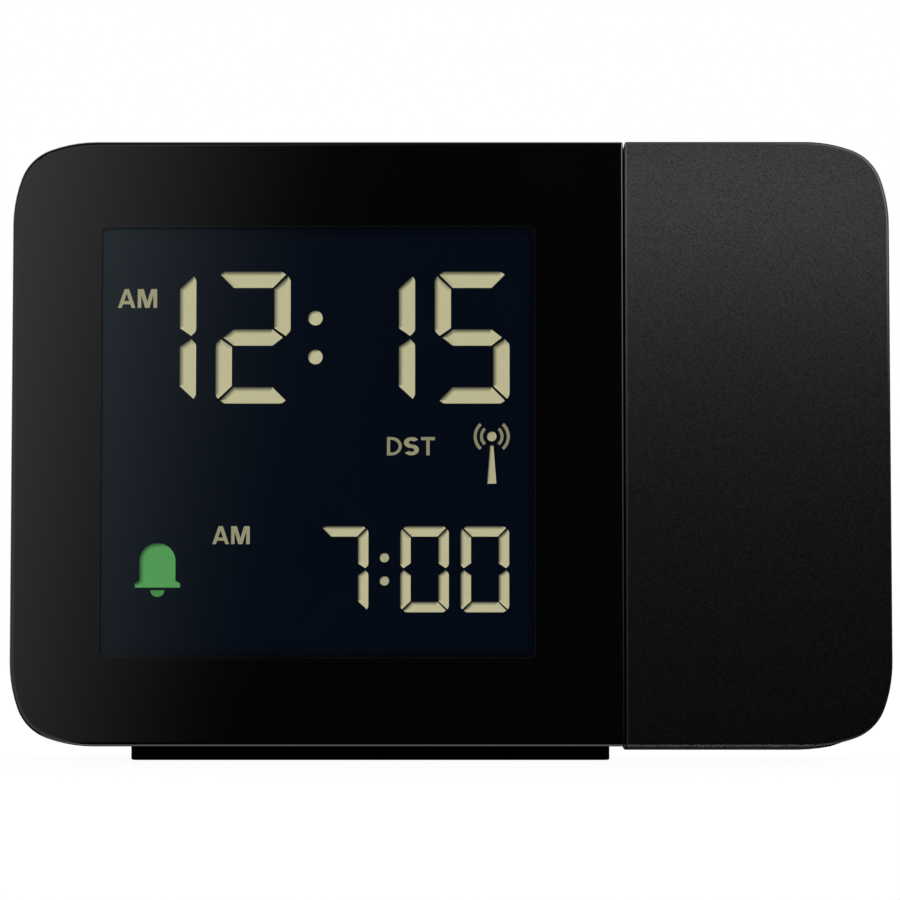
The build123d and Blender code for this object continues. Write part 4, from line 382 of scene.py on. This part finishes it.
def grain_group():
    """Fine moulded grain: colour, roughness and height that change from pit to pit."""
    group = bpy.data.node_groups.new("moulded_grain", "ShaderNodeTree")
    sockets = group.interface
    for name, kind, value in (
        ("Pits per metre", "NodeSocketFloat", 4500.0),
        ("Dark", "NodeSocketColor", (0.01, 0.01, 0.01, 1)),
        ("Light", "NodeSocketColor", (0.02, 0.02, 0.02, 1)),
        ("Smoothest", "NodeSocketFloat", 0.4),
        ("Roughest", "NodeSocketFloat", 0.6),
    ):
        sockets.new_socket(name, in_out="INPUT", socket_type=kind).default_value = value
    for name, kind in (
        ("Color", "NodeSocketColor"),
        ("Roughness", "NodeSocketFloat"),
        ("Height", "NodeSocketFloat"),
    ):
        sockets.new_socket(name, in_out="OUTPUT", socket_type=kind)
    given = add_node(group, "NodeGroupInput").outputs
    place = add_node(group, "ShaderNodeTexCoord").outputs["Object"]
    pits = add_node(group, "ShaderNodeTexNoise", [
        ("Vector", place), ("Scale", given["Pits per metre"]), ("Detail", 2.0)
    ]).outputs["Fac"]
    cloud = add_node(group, "ShaderNodeTexNoise", [
        ("Vector", place), ("Scale", CLOUDS_PER_METRE)
    ]).outputs["Fac"]
    rough = spread(group, cloud, given["Smoothest"], given["Roughest"])
    out = add_node(group, "NodeGroupOutput")
    group.links.new(between(group, spread(group, pits), given["Dark"], given["Light"]),
                    out.inputs["Color"])
    group.links.new(rough, out.inputs["Roughness"])
    group.links.new(pits, out.inputs["Height"])
    return group


moulded_grain = grain_group()


def grained(name, dark, light, smooth, rough, pits, depth, **sockets):
    """Moulded plastic or rubber: colours, roughness range, pits per metre and their depth."""
    finish, tree, shader = new_finish(name, **sockets)
    grain = add_node(tree, "ShaderNodeGroup", node_tree=moulded_grain)
    for socket, value in (
        ("Pits per metre", pits), ("Dark", (*dark, 1)), ("Light", (*light, 1)),
        ("Smoothest", smooth), ("Roughest", rough),
    ):
        grain.inputs[socket].default_value = value
    tree.links.new(grain.outputs["Color"], shader.inputs["Base Color"])
    tree.links.new(grain.outputs["Roughness"], shader.inputs["Roughness"])
    bump = add_node(tree, "ShaderNodeBump", [
        ("Height", grain.outputs["Height"]), ("Strength", 1.0), ("Distance", depth)
    ])
    tree.links.new(bump.outputs["Normal"], shader.inputs["Normal"])
    return finish


white_finish = grained(
    "white_moulding", (0.66, 0.66, 0.63), (0.76, 0.76, 0.73), 0.4, 0.5, 1500.0, 4e-6
)
dress(white_finish, "lcd_tray", "backlight_leds", "projector_plug")
strip_finish = grained(
    "grey_rubber_strip", (0.2, 0.2, 0.2), (0.3, 0.3, 0.3), 0.6, 0.8, 2500.0, 1e-5
)
dress(strip_finish, "contact_strip")

# Circuit boards: glass-fibre boards with green solder mask over fine copper tracks.
# The main board is screwed to the panel, the small ones sit on headers and posts.

board_finish, tree, shader = new_finish("green_board", Specular_IOR_Level=0.5)
place = add_node(tree, "ShaderNodeTexCoord").outputs["Object"]
cells = add_node(tree, "ShaderNodeTexVoronoi", [("Vector", place), ("Scale", 420.0)],
                 feature="DISTANCE_TO_EDGE", distance="EUCLIDEAN").outputs["Distance"]
track = add_node(tree, "ShaderNodeMapRange", [
    ("Value", cells), ("From Min", 0.05), ("From Max", 0.09)
]).outputs["Result"]
pads = add_node(tree, "ShaderNodeTexVoronoi", [("Vector", place), ("Scale", 300.0)],
                feature="F1").outputs["Distance"]
pad = add_node(tree, "ShaderNodeMapRange", [
    ("Value", pads), ("From Min", 0.12), ("From Max", 0.15)
]).outputs["Result"]
mask_colour = between(tree, track, (0.05, 0.24, 0.09, 1), (0.02, 0.13, 0.045, 1))
tree.links.new(between(tree, pad, (0.62, 0.6, 0.52, 1), mask_colour), shader.inputs["Base Color"])
tree.links.new(spread(tree, pads, 0.3, 0.45), shader.inputs["Roughness"])
dress(board_finish, "main_board", "receiver_board", "key_board", "projector_board")

# Chips, sockets and switches on the boards: black moulded bodies, soldered in place.
# The snooze and key switches sit right behind the parts that press them.

chip_finish = grained(
    "black_moulding", (0.016, 0.016, 0.018), (0.03, 0.03, 0.033), 0.5, 0.65, 2600.0, 8e-6
)
dress(chip_finish, "board_components", "receiver_header", "snooze_switch", "key_switches",
      "sounder", "battery_bay", "projector_tube", "lens_barrel", "pivot_hub")

# Screws, the slide switch's can, the pivot's clip and its friction washer: zinc-plated steel.
# Turned or stamped, so the plating shows fine streaks along one way.

steel_finish, tree, shader = new_finish("zinc_steel", Metallic=1.0)
place = add_node(tree, "ShaderNodeTexCoord").outputs["Object"]
drawn = add_node(tree, "ShaderNodeMapping", [("Vector", place), ("Scale", (9000.0, 900.0, 9000.0))])
streaks = add_node(tree, "ShaderNodeTexNoise", [
    ("Vector", drawn.outputs["Vector"]), ("Scale", 1.0), ("Detail", 2.0)
]).outputs["Fac"]
tree.links.new(between(tree, streaks, (0.42, 0.42, 0.43, 1), (0.62, 0.62, 0.63, 1)),
               shader.inputs["Base Color"])
tree.links.new(spread(tree, streaks, 0.25, 0.42), shader.inputs["Roughness"])
dress(steel_finish, "board_screws", "rear_screws", "key_board_screws", "slide_switch", "arm_screws",
      "hub_screws", "projector_screws", "pivot_clip", "friction_washer")

# Radio aerial: a ferrite rod with a coil of enamelled copper wire wound round its middle.
# It lies along the top of the shell in its cradle.

ferrite_finish = grained(
    "grey_ferrite", (0.04, 0.04, 0.043), (0.075, 0.075, 0.08), 0.5, 0.7, 1800.0, 1.5e-5
)
dress(ferrite_finish, "antenna_rod")

coil_finish, tree, shader = new_finish("copper_winding", Metallic=0.8)
place = add_node(tree, "ShaderNodeTexCoord").outputs["Object"]
turns = add_node(tree, "ShaderNodeTexWave", [
    ("Vector", place), ("Scale", 800.0), ("Distortion", 0.4)
], bands_direction="X").outputs["Fac"]
tree.links.new(between(tree, turns, (0.24, 0.08, 0.03, 1), (0.72, 0.33, 0.14, 1)),
               shader.inputs["Base Color"])
tree.links.new(spread(tree, turns, 0.45, 0.25), shader.inputs["Roughness"])
bump = add_node(tree, "ShaderNodeBump", [("Height", turns), ("Strength", 1.0), ("Distance", 1e-4)])
tree.links.new(bump.outputs["Normal"], shader.inputs["Normal"])
dress(coil_finish, "antenna_coil")

# Main shell and rear cover: moulded black plastic with a fine spark-eroded grain all over.
# The cover is screwed on from behind, through four deep holes.

shell_finish = grained(
    "shell_black", (0.007, 0.007, 0.007), (0.014, 0.014, 0.014), 0.46, 0.54, 3600.0, 4e-5
)
dress(shell_finish, "main_shell", "rear_cover")

# Foot: one moulded block of black rubber, bonded into the recess under the main shell.
# Its face is matt, with a coarse grain that grips the table.

foot_finish = grained(
    "foot_rubber_black", (0.002, 0.002, 0.002), (0.004, 0.004, 0.004), 0.75, 0.9, 1600.0, 5e-5,
    Specular_IOR_Level=0.25,
)
dress(foot_finish, "foot")

# Front panel: one injection-moulded plate of high-gloss black plastic with a polished face.
# It carries the window and closes the front of the main shell.

panel_finish, tree, shader = new_finish("gloss_black_panel", Coat_Weight=1.0, Coat_Roughness=0.03)
haze = blotches(tree, 60.0, 6.0)
tree.links.new(between(tree, haze, (0.0022, 0.0022, 0.0023, 1), (0.003, 0.003, 0.0031, 1)),
               shader.inputs["Base Color"])
tree.links.new(spread(tree, haze, 0.05, 0.09), shader.inputs["Roughness"])
dress(panel_finish, "front_panel")

# Display window: a clear moulded pane let into the panel, flush with its face.
# Its flange holds it, and a thin polished bead of lacquer fills the joint round it.
# The bead glows faintly: a painted highlight for the light line round the window.

window_finish, tree, shader = new_finish(
    "clear_window", Transmission_Weight=1.0, IOR=1.57, Specular_Tint=(0.8, 1.0, 1.0, 1)
)
smear = blotches(tree, 45.0, 5.0)
tree.links.new(between(tree, smear, (0.92, 0.93, 0.95, 1), (0.95, 0.96, 0.97, 1)),
               shader.inputs["Base Color"])
tree.links.new(spread(tree, smear, 0.0, 0.015), shader.inputs["Roughness"])
dress(window_finish, "display_window")

OPENING_CORNER, CORNER_STEPS = 0.0012, 8
SEAL_OUTER, SEAL_INNER = 0.00001, 0.00019
SEAL_FRONT, SEAL_DEEP = -0.02098, 0.0004


def rounded_face(shape, left, right, low, high, radius, y):
    """Flat face with rounded corners that looks forwards."""
    face = shape.faces.new([shape.verts.new((x, y, z)) for x, z in (
        (left, low), (right, low), (right, high), (left, high))])
    bmesh.ops.bevel(shape, geom=list(face.verts), offset=radius, affect="VERTICES",
                    segments=CORNER_STEPS, profile=0.5, material=-1)
    return max(shape.faces, key=lambda f: f.calc_area())


seal = bmesh.new()
outer = rounded_face(
    seal, OPENING["X"][0] + SEAL_OUTER, OPENING["X"][1] - SEAL_OUTER,
    OPENING["Z"][0] + SEAL_OUTER, OPENING["Z"][1] - SEAL_OUTER,
    OPENING_CORNER - SEAL_OUTER, SEAL_FRONT,
)
bmesh.ops.inset_region(seal, faces=[outer], thickness=SEAL_INNER - SEAL_OUTER,
                       use_even_offset=True, use_boundary=True)
bmesh.ops.delete(seal, geom=[outer], context="FACES")
ring = list(seal.faces)
back = bmesh.ops.extrude_face_region(seal, geom=ring, use_keep_orig=True)["geom"]
bmesh.ops.translate(seal, vec=(0, SEAL_DEEP, 0), verts=corners_of(back))
bmesh.ops.recalc_face_normals(seal, faces=seal.faces)
seal_finish, tree, shader = new_finish(
    "dark_lacquer_bead", Coat_Weight=1.0, Coat_Roughness=0.03, Emission_Strength=1.0
)
uneven = blotches(tree, 150.0)
tree.links.new(between(tree, uneven, (0.0022, 0.0022, 0.0023, 1), (0.003, 0.003, 0.0031, 1)),
               shader.inputs["Base Color"])
tree.links.new(spread(tree, uneven, 0.05, 0.09), shader.inputs["Roughness"])
# Painted highlight: a faint glow on the bead.
tree.links.new(between(tree, uneven, (0.003, 0.0031, 0.0036, 1), (0.004, 0.0042, 0.0046, 1)),
               shader.inputs["Emission Color"])
window_seal = piece_from(seal, "window_seal", seal_finish, "clock_body")

# Snooze bar and alarm slide knob: satin black plastic, moulded in one with their guides.
# The bar presses a switch through the top of the shell; the knob slides behind its slot.

satin_finish = grained(
    "satin_black", (0.01, 0.01, 0.011), (0.016, 0.016, 0.017), 0.34, 0.42, 2400.0, 1e-5
)
dress(satin_finish, "snooze_bar", "alarm_switch", "focus_ring")

# Setting keys on the back: satin caps in a shallow trough, each with a small pad-printed sign.
# The signs are a clock, a bell, minus, plus and a turning arrow, in light grey ink.

dress(satin_finish, "time_key", "alarm_key", "minus_key", "plus_key", "flip_key")

ink_finish, tree, shader = new_finish("grey_ink", Roughness=0.55)
worn = blotches(tree, 2500.0)
tree.links.new(between(tree, worn, (0.42, 0.42, 0.42, 1), (0.56, 0.56, 0.56, 1)),
               shader.inputs["Base Color"])

KEY_FACE, INK_HEIGHT = 0.0209, 0.00004
SIGN_REACH, SIGN_STROKE = 0.0014, 0.00045
HAND_LENGTH, SHORT_HAND_SHARE = 0.0009, 0.6
ARROW_LENGTH, ARROW_SPREAD, ARROW_TURN = 0.0007, 0.8, 270
BELL_SHARE, RING_STEPS = 0.36, 40


def bar(sign, across, up):
    """Flat bar of a sign, from its limits across and up."""
    sign.faces.new([sign.verts.new((x, 0, z)) for x, z in (
        (across[0], up[0]), (across[1], up[0]), (across[1], up[1]), (across[0], up[1]))])


def hoop(sign, radius, degrees):
    """Flat ring or part of one, which starts at the right and runs over the top."""
    ends = [sign.verts.new((radius + side * SIGN_STROKE / 2, 0, 0)) for side in (-1, 1)]
    bmesh.ops.spin(sign, geom=[sign.edges.new(ends), *ends], cent=(0, 0, 0), axis=(0, -1, 0),
                   angle=math.radians(degrees), steps=RING_STEPS, use_merge=degrees == 360)


half = SIGN_STROKE / 2
signs = {name: bmesh.new() for name in ("time", "minus", "plus", "flip")}
hoop(signs["time"], SIGN_REACH - half, 360)
bar(signs["time"], (-half, half), (-half, HAND_LENGTH))
bar(signs["time"], (half, half + HAND_LENGTH * SHORT_HAND_SHARE), (-half, half))
bar(signs["minus"], (-SIGN_REACH, SIGN_REACH), (-half, half))
for limits in ((-SIGN_REACH, -half), (-half, half), (half, SIGN_REACH)):
    bar(signs["plus"], limits, (-half, half))
bar(signs["plus"], (-half, half), (half, SIGN_REACH))
bar(signs["plus"], (-half, half), (-SIGN_REACH, -half))
hoop(signs["flip"], SIGN_REACH - half, ARROW_TURN)
tip = SIGN_REACH - half
signs["flip"].faces.new([signs["flip"].verts.new((x, 0, z)) for x, z in (
    (0, -tip - ARROW_LENGTH * ARROW_SPREAD), (ARROW_LENGTH, -tip),
    (0, -tip + ARROW_LENGTH * ARROW_SPREAD))])
small_bell = merged_copy("lcd_bell")
bmesh.ops.delete(small_bell, context="FACES",
                 geom=[f for f in small_bell.faces if f.normal.y > FACES_FRONT])
low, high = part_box("lcd_bell")
bmesh.ops.translate(small_bell, vec=-(low + high) / 2, verts=small_bell.verts)
bmesh.ops.scale(small_bell, vec=(BELL_SHARE, 0, BELL_SHARE), verts=small_bell.verts)
signs["alarm"] = small_bell

TO_BACK = Matrix.Rotation(math.pi, 3, "Z")
for name in ("time", "alarm", "minus", "plus", "flip"):
    sign = signs[name]
    low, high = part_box(name + "_key")
    bmesh.ops.remove_doubles(sign, verts=sign.verts, dist=MERGE)
    bmesh.ops.rotate(sign, cent=(0, 0, 0), matrix=TO_BACK, verts=sign.verts)
    bmesh.ops.translate(sign, verts=sign.verts,
                        vec=((low.x + high.x) / 2, KEY_FACE, (low.z + high.z) / 2))
    faces = list(sign.faces)
    raised = bmesh.ops.extrude_face_region(sign, geom=faces, use_keep_orig=True)["geom"]
    bmesh.ops.translate(sign, vec=(0, INK_HEIGHT, 0), verts=corners_of(raised))
    bmesh.ops.recalc_face_normals(sign, faces=sign.faces)
    piece_from(sign, name + "_sign", ink_finish, name + "_key")

# Battery cells and their contacts: two plain sleeved cells between nickel-plated springs.
# The sleeve stops short of each end, where the bare metal can shows.

CELL_SLEEVE = (-0.0510, -0.0082)
BARE_METAL = (0.66, 0.66, 0.63, 1)
cell_finish, tree, shader = new_finish("cell_sleeve", Coat_Weight=0.3)
along = add_node(tree, "ShaderNodeSeparateXYZ", [
    ("Vector", add_node(tree, "ShaderNodeTexCoord").outputs["Object"])
]).outputs["X"]
sleeve = sum_node(
    tree, "MULTIPLY", sum_node(tree, "GREATER_THAN", along, CELL_SLEEVE[0]),
    sum_node(tree, "LESS_THAN", along, CELL_SLEEVE[1]),
)
print_tone = between(tree, blotches(tree, 300.0), (0.12, 0.13, 0.15, 1), (0.17, 0.18, 0.2, 1))
tree.links.new(between(tree, sleeve, BARE_METAL, print_tone), shader.inputs["Base Color"])
tree.links.new(sum_node(tree, "SUBTRACT", 1.0, sleeve), shader.inputs["Metallic"])
tree.links.new(spread(tree, blotches(tree, 700.0), 0.25, 0.4), shader.inputs["Roughness"])
dress(cell_finish, "battery_cells")

nickel_finish, tree, shader = new_finish("nickel_plate", Metallic=1.0)
dull = blotches(tree, 900.0)
tree.links.new(between(tree, dull, (0.56, 0.55, 0.51, 1), (0.68, 0.67, 0.63, 1)),
               shader.inputs["Base Color"])
tree.links.new(spread(tree, dull, 0.18, 0.34), shader.inputs["Roughness"])
dress(nickel_finish, "battery_contacts")

# Battery door: a moulded plate of the cover's plastic that turns on two pins at its low edge.
# Short grooves near its upper edge give a finger grip.

GRIP_COUNT, GRIP_PITCH, GRIP_HEIGHT, GRIP_LENGTH = 4, 0.0016, 0.0009, 0.014
GRIP_DROP, GRIP_WALL, GRIP_DEEP = 0.0024, 0.0002, 0.0004
FACES_BACK, FACE_DEPTH = 0.99, 1e-5
door = merged_copy("battery_door")
low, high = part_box("battery_door")
middle = (low.x + high.x) / 2
levels = [high.z - GRIP_DROP - i * GRIP_PITCH for i in range(GRIP_COUNT)]
cuts = [((middle + side * GRIP_LENGTH / 2, 0, 0), (1, 0, 0)) for side in (-1, 1)]
cuts += [((0, 0, z + side * GRIP_HEIGHT / 2), (0, 0, 1)) for z in levels for side in (-1, 1)]
for spot, normal in cuts:
    face = [
        f for f in door.faces if f.normal.y > FACES_BACK
        and f.calc_center_median().y > high.y - FACE_DEPTH
    ]
    geom = list({x for f in face for x in (f, *f.edges, *f.verts)})
    bmesh.ops.bisect_plane(door, geom=geom, plane_co=spot, plane_no=normal)
door.normal_update()
grips = [
    f for f in door.faces if f.normal.y > FACES_BACK
    and abs(f.calc_center_median().x - middle) < GRIP_LENGTH / 2
    and min(abs(f.calc_center_median().z - z) for z in levels) < GRIP_HEIGHT / 4
]
bmesh.ops.inset_individual(door, faces=grips, thickness=GRIP_WALL, depth=-GRIP_DEEP,
                           use_even_offset=True)
plate = piece_from(door, "battery_door_plate", shell_finish, "battery_door")
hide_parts("battery_door")

# Power inlet: a black moulded socket behind the cover, with a nickel-plated pin in its bore.
# Only its nose shows, in a round hole beside the battery door.

INLET_PIN = 0.0011
low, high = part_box("power_inlet")
inlet_finish, tree, shader = new_finish("inlet_black_and_pin", Specular_IOR_Level=0.5)
place = add_node(tree, "ShaderNodeTexCoord").outputs["Object"]
centred = add_node(tree, "ShaderNodeMapping", [
    ("Vector", place), ("Scale", (1, 0, 1)),
    ("Location", (-(low.x + high.x) / 2, 0, -(low.z + high.z) / 2)),
]).outputs["Vector"]
away = add_node(tree, "ShaderNodeVectorMath", [(0, centred)], operation="LENGTH").outputs["Value"]
pin = sum_node(tree, "LESS_THAN", away, INLET_PIN)
body_tone = between(tree, blotches(tree, 2600.0), (0.012, 0.012, 0.013, 1),
                    (0.022, 0.022, 0.024, 1))
tree.links.new(between(tree, pin, body_tone, BARE_METAL), shader.inputs["Base Color"])
tree.links.new(pin, shader.inputs["Metallic"])
tree.links.new(spread(tree, blotches(tree, 1500.0), 0.32, 0.5), shader.inputs["Roughness"])
dress(inlet_finish, "power_inlet")

# Pivot bush and the projector's lead: a white acetal bearing in the shell's wall, and a thin
# sleeved lead that runs through the hollow hub, half in the body and half in the arm.

bush_finish = grained(
    "acetal_white", (0.7, 0.69, 0.65), (0.8, 0.79, 0.75), 0.35, 0.45, 1200.0, 3e-6
)
dress(bush_finish, "pivot_bush")
lead_finish = grained(
    "lead_sleeve_black", (0.01, 0.01, 0.011), (0.018, 0.018, 0.019), 0.45, 0.6, 3000.0, 1e-5
)
dress(lead_finish, "lead_body_side", "lead_arm_side")

# Arm shell and side plate: moulded black plastic with a visible fine grain over every face.
# The side plate is screwed to the shell's open seam side. The shell's front edges carry painted
# highlights: lighter lines along the seam, and at the upper right.

ARM_GRAIN = ((0.013, 0.013, 0.013), (0.045, 0.045, 0.045), 0.57, 0.63, 4600.0, 2e-5)
ARM_SHINE = 0.2
arm_finish = grained("fine_grain_black", *ARM_GRAIN, Specular_IOR_Level=ARM_SHINE)
dress(arm_finish, "arm_side_plate")
highlight_edge_finish = grained("painted_highlight_edge_black", *ARM_GRAIN, Specular_IOR_Level=ARM_SHINE)
# Painted highlights: a lighter band along the seam edge, and one along the upper right rim that
# fades downwards.
SEAM_HIGHLIGHT = (("X", 0.0268, 0.0272, 1.0, 0.0), ("Y", -0.0210, -0.0206, 1.0, 0.0))
RIM_HIGHLIGHT = (
    ("Y", -0.02099, -0.02093, 0.0, 1.0), ("Y", -0.02086, -0.02078, 1.0, 0.0),
    ("Z", 0.052, 0.075, 0.0, 1.0), ("X", 0.048, 0.0655, 0.18, 1.0),
)
SEAM_HIGHLIGHT_TONE, RIM_HIGHLIGHT_TONE = (0.12, 0.12, 0.12, 1), (0.18, 0.18, 0.18, 1)
tree = highlight_edge_finish.node_tree
shader = tree.nodes["Principled BSDF"]
highlighted = shader.inputs["Base Color"].links[0].from_socket
place = add_node(tree, "ShaderNodeTexCoord").outputs["Object"]
apart = add_node(tree, "ShaderNodeSeparateXYZ", [("Vector", place)])
for line, tone in ((SEAM_HIGHLIGHT, SEAM_HIGHLIGHT_TONE), (RIM_HIGHLIGHT, RIM_HIGHLIGHT_TONE)):
    edge = 1.0
    for axis, start, end, first, last in line:
        near = add_node(tree, "ShaderNodeMapRange", [
            ("Value", apart.outputs[axis]), ("From Min", start), ("From Max", end),
            ("To Min", first), ("To Max", last)
        ]).outputs["Result"]
        edge = sum_node(tree, "MULTIPLY", near, edge)
    highlighted = between(tree, edge, highlighted, tone)
tree.links.new(highlighted, shader.inputs["Base Color"])
dress(highlight_edge_finish, "arm_shell")

# Projector optics: clear moulded lenses over a white lamp, and a small display cell between them.
# The front lens is bonded in the sliding barrel, and the ring in the arm's top turns to focus it.

lens_finish, tree, shader = new_finish("clear_lens", Transmission_Weight=1.0, IOR=1.52)
film = blotches(tree, 200.0)
tree.links.new(between(tree, film, (0.95, 0.97, 0.98, 1), (0.98, 0.99, 1.0, 1)),
               shader.inputs["Base Color"])
tree.links.new(spread(tree, film, 0.0, 0.03), shader.inputs["Roughness"])
dress(lens_finish, "condenser_lens", "projection_lens", "projector_led")

cell_glass, tree, shader = new_finish("dark_cell_glass", Specular_IOR_Level=0.6)
tint = blotches(tree, 700.0)
tree.links.new(between(tree, tint, (0.008, 0.01, 0.016, 1), (0.014, 0.017, 0.024, 1)),
               shader.inputs["Base Color"])
tree.links.new(spread(tree, tint, 0.08, 0.16), shader.inputs["Roughness"])
dress(cell_glass, "projector_lcd")

# Studio: a pale table top that the camera sees as almost white, with a soft grey shade at the foot.
# Bright surroundings lie behind the clock, dark ones in front of it and below the table.

FLOOR_SPAN = 6.0
floor_mesh = bpy.data.meshes.new("table_top")
sheet = bmesh.new()
bmesh.ops.create_grid(sheet, x_segments=2, y_segments=2, size=FLOOR_SPAN)
sheet.to_mesh(floor_mesh)
sheet.free()
floor = bpy.data.objects.new("table_top", floor_mesh)
bpy.context.scene.collection.objects.link(floor)
floor_finish, tree, shader = new_finish(
    "pale_table", Roughness=0.9, Specular_IOR_Level=0.0, Emission_Strength=0.97
)
tone = blotches(tree, 3.0)
tree.links.new(between(tree, tone, (0.12, 0.12, 0.12, 1), (0.13, 0.13, 0.13, 1)),
               shader.inputs["Base Color"])
tree.links.new(between(tree, tone, (0.99, 0.99, 0.99, 1), (1.0, 1.0, 1.0, 1)),
               shader.inputs["Emission Color"])
floor_mesh.materials.append(floor_finish)
floor.visible_glossy = False
floor.visible_diffuse = False
floor.visible_transmission = False

world = bpy.data.worlds.new("studio")
bpy.context.scene.world = world
world.use_nodes = True
tree = world.node_tree
way = add_node(tree, "ShaderNodeTexCoord").outputs["Generated"]
apart = add_node(tree, "ShaderNodeSeparateXYZ", [("Vector", way)])
WORLD_STEPS = ((0.02, 0.012), (0.3, 0.03), (0.5, 0.12), (0.72, 1.0))
BELOW_TABLE, BELOW_SHARE = -0.3, 0.08
share = add_node(tree, "ShaderNodeMapRange", [
    ("Value", apart.outputs["Y"]), ("From Min", -1.0), ("From Max", 1.0)
]).outputs["Result"]
shadow = add_node(tree, "ShaderNodeMapRange", [
    ("Value", apart.outputs["Z"]), ("From Min", BELOW_TABLE), ("From Max", 0.0),
    ("To Min", BELOW_SHARE),
]).outputs["Result"]
ramp = add_node(tree, "ShaderNodeValToRGB", [("Fac", share)])
ramp.color_ramp.interpolation = "EASE"
steps = ramp.color_ramp.elements
for _ in WORLD_STEPS[2:]:
    steps.new(0.5)
for step, (place, value) in zip(steps, WORLD_STEPS):
    step.position, step.color = place, (value, value, value, 1)
seen = tree.nodes["Background"]
seen.inputs["Color"].default_value = (1, 1, 1, 1)
around = add_node(tree, "ShaderNodeBackground", [
    ("Color", ramp.outputs["Color"]), ("Strength", shadow)
])
camera_ray = add_node(tree, "ShaderNodeLightPath").outputs["Is Camera Ray"]
both = add_node(tree, "ShaderNodeMixShader", [
    (0, camera_ray), (1, around.outputs[0]), (2, seen.outputs[0])
])
tree.links.new(both.outputs[0], tree.nodes["World Output"].inputs["Surface"])

# Light cards and strips: soft sources that the camera doesn't see, each for one part alone.
# A graded card at the left and one at the right shade the gloss panel, and three strips light
# the arm. A fourth strip, on the table, lights the panel's low edge.


def receivers(name, *objects):
    """The objects that a light reaches."""
    group = bpy.data.collections.new(name)
    for thing in objects:
        group.objects.link(thing)
    return group


gloss_front = receivers(
    "gloss_front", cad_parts["front_panel"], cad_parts["display_window"], window_seal
)
matt_arm = receivers(
    "matt_arm", *[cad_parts[n] for n in ("arm_shell", "arm_side_plate", "focus_ring")]
)


def graded_card(name, corners, axis, edge, lean, rise, most):
    """Card whose light grows as the square of the way in from a leaning edge."""
    mesh = bpy.data.meshes.new(name)
    sheet = bmesh.new()
    sheet.faces.new([sheet.verts.new(p) for p in corners])
    sheet.to_mesh(mesh)
    sheet.free()
    card = bpy.data.objects.new(name, mesh)
    bpy.context.scene.collection.objects.link(card)
    finish, tree, shader = new_finish(name, Roughness=1.0, Emission_Strength=1.0)
    shader.inputs["Base Color"].default_value = (0, 0, 0, 1)
    place = add_node(tree, "ShaderNodeTexCoord").outputs["Object"]
    inward = add_node(tree, "ShaderNodeVectorMath", [(0, place), (1, (axis, 0.0, lean))],
                      operation="DOT_PRODUCT").outputs["Value"]
    bright = inward
    for operation, value in (
        ("SUBTRACT", edge), ("MAXIMUM", 0.0), ("POWER", 2.0), ("MULTIPLY", rise), ("MINIMUM", most)
    ):
        bright = sum_node(tree, operation, bright, value)
    tree.links.new(bright, shader.inputs["Emission Color"])
    mesh.materials.append(finish)
    card.visible_camera = False
    card.light_linking.receiver_collection = gloss_front


LEFT_CARD_Y, LEFT_CARD_FAR, LEFT_CARD_NEAR = -0.921, -3.0, 0.1
LEFT_CARD_LOW, LEFT_CARD_TOP = -1.5, 0.75
graded_card("left_card", [
    (LEFT_CARD_FAR, LEFT_CARD_Y, LEFT_CARD_LOW), (LEFT_CARD_FAR, LEFT_CARD_Y, LEFT_CARD_TOP),
    (LEFT_CARD_NEAR, LEFT_CARD_Y, LEFT_CARD_TOP), (LEFT_CARD_NEAR, LEFT_CARD_Y, LEFT_CARD_LOW),
], axis=-1.0, edge=0.0771, lean=0.189, rise=20.0, most=0.45)
RIGHT_CARD_X, RIGHT_CARD_FAR, RIGHT_CARD_NEAR = 0.4, -0.9, -0.03
RIGHT_CARD_LOW, RIGHT_CARD_TOP = -0.1, 0.5
graded_card("right_card", [
    (RIGHT_CARD_X, RIGHT_CARD_FAR, RIGHT_CARD_LOW),
    (RIGHT_CARD_X, RIGHT_CARD_FAR, RIGHT_CARD_TOP),
    (RIGHT_CARD_X, RIGHT_CARD_NEAR, RIGHT_CARD_TOP),
    (RIGHT_CARD_X, RIGHT_CARD_NEAR, RIGHT_CARD_LOW),
], axis=0.0, edge=-0.04, lean=1.0, rise=45.0, most=4.0)

STRIPS = (
    ("top_strip", (0.047, -0.057, 0.095), (0.047, -0.021, 0.0887),
     (0.30, 0.01), 180, 0.06, matt_arm),
    ("arm_bounce", (0.047, -0.0206, 0.0004), (0.047, -0.0206, 0.05),
     (0.041, 0.0005), 15, 0.00006, matt_arm),
    ("seam_strip", (-0.20, -0.16, 0.20), (0.047, -0.02, 0.05),
     (0.04, 0.04), 180, 0.1, matt_arm),
    ("panel_bounce", (-0.0193, -0.0209, 0.0004), (-0.0193, -0.0209, 0.05),
     (0.0915, 0.0010), 180, 0.00042, gloss_front),
)
for name, place, aim, size, beam, power, lit in STRIPS:
    lamp = bpy.data.lights.new(name, "AREA")
    lamp.shape = "RECTANGLE"
    lamp.size, lamp.size_y = size
    lamp.spread = math.radians(beam)
    lamp.energy = power
    strip = bpy.data.objects.new(name, lamp)
    strip.location = place
    strip.rotation_euler = (Vector(aim) - Vector(place)).to_track_quat("-Z", "Y").to_euler()
    strip.visible_camera = False
    strip.light_linking.receiver_collection = lit
    bpy.context.scene.collection.objects.link(strip)

# Camera: a long lens half a metre in front of the clock, just above the table, tilted slightly up.
# The picture keeps its colours as they are, with no film curve over them.

CAMERA_PLACE, CAMERA_TILT = (-0.000154, -0.521, 0.016), 3.605
LENS_LENGTH, SENSOR_WIDTH, CLIP_NEAR, CLIP_FAR = 130.74, 36.0, 0.05, 50.0
lens = bpy.data.cameras.new("camera")
lens.lens, lens.sensor_width = LENS_LENGTH, SENSOR_WIDTH
lens.clip_start, lens.clip_end = CLIP_NEAR, CLIP_FAR
camera = bpy.data.objects.new("camera", lens)
camera.location = CAMERA_PLACE
camera.rotation_euler = (math.radians(90 + CAMERA_TILT), 0.0, 0.0)
bpy.context.scene.collection.objects.link(camera)
bpy.context.scene.camera = camera
bpy.context.scene.view_settings.view_transform = "Standard"
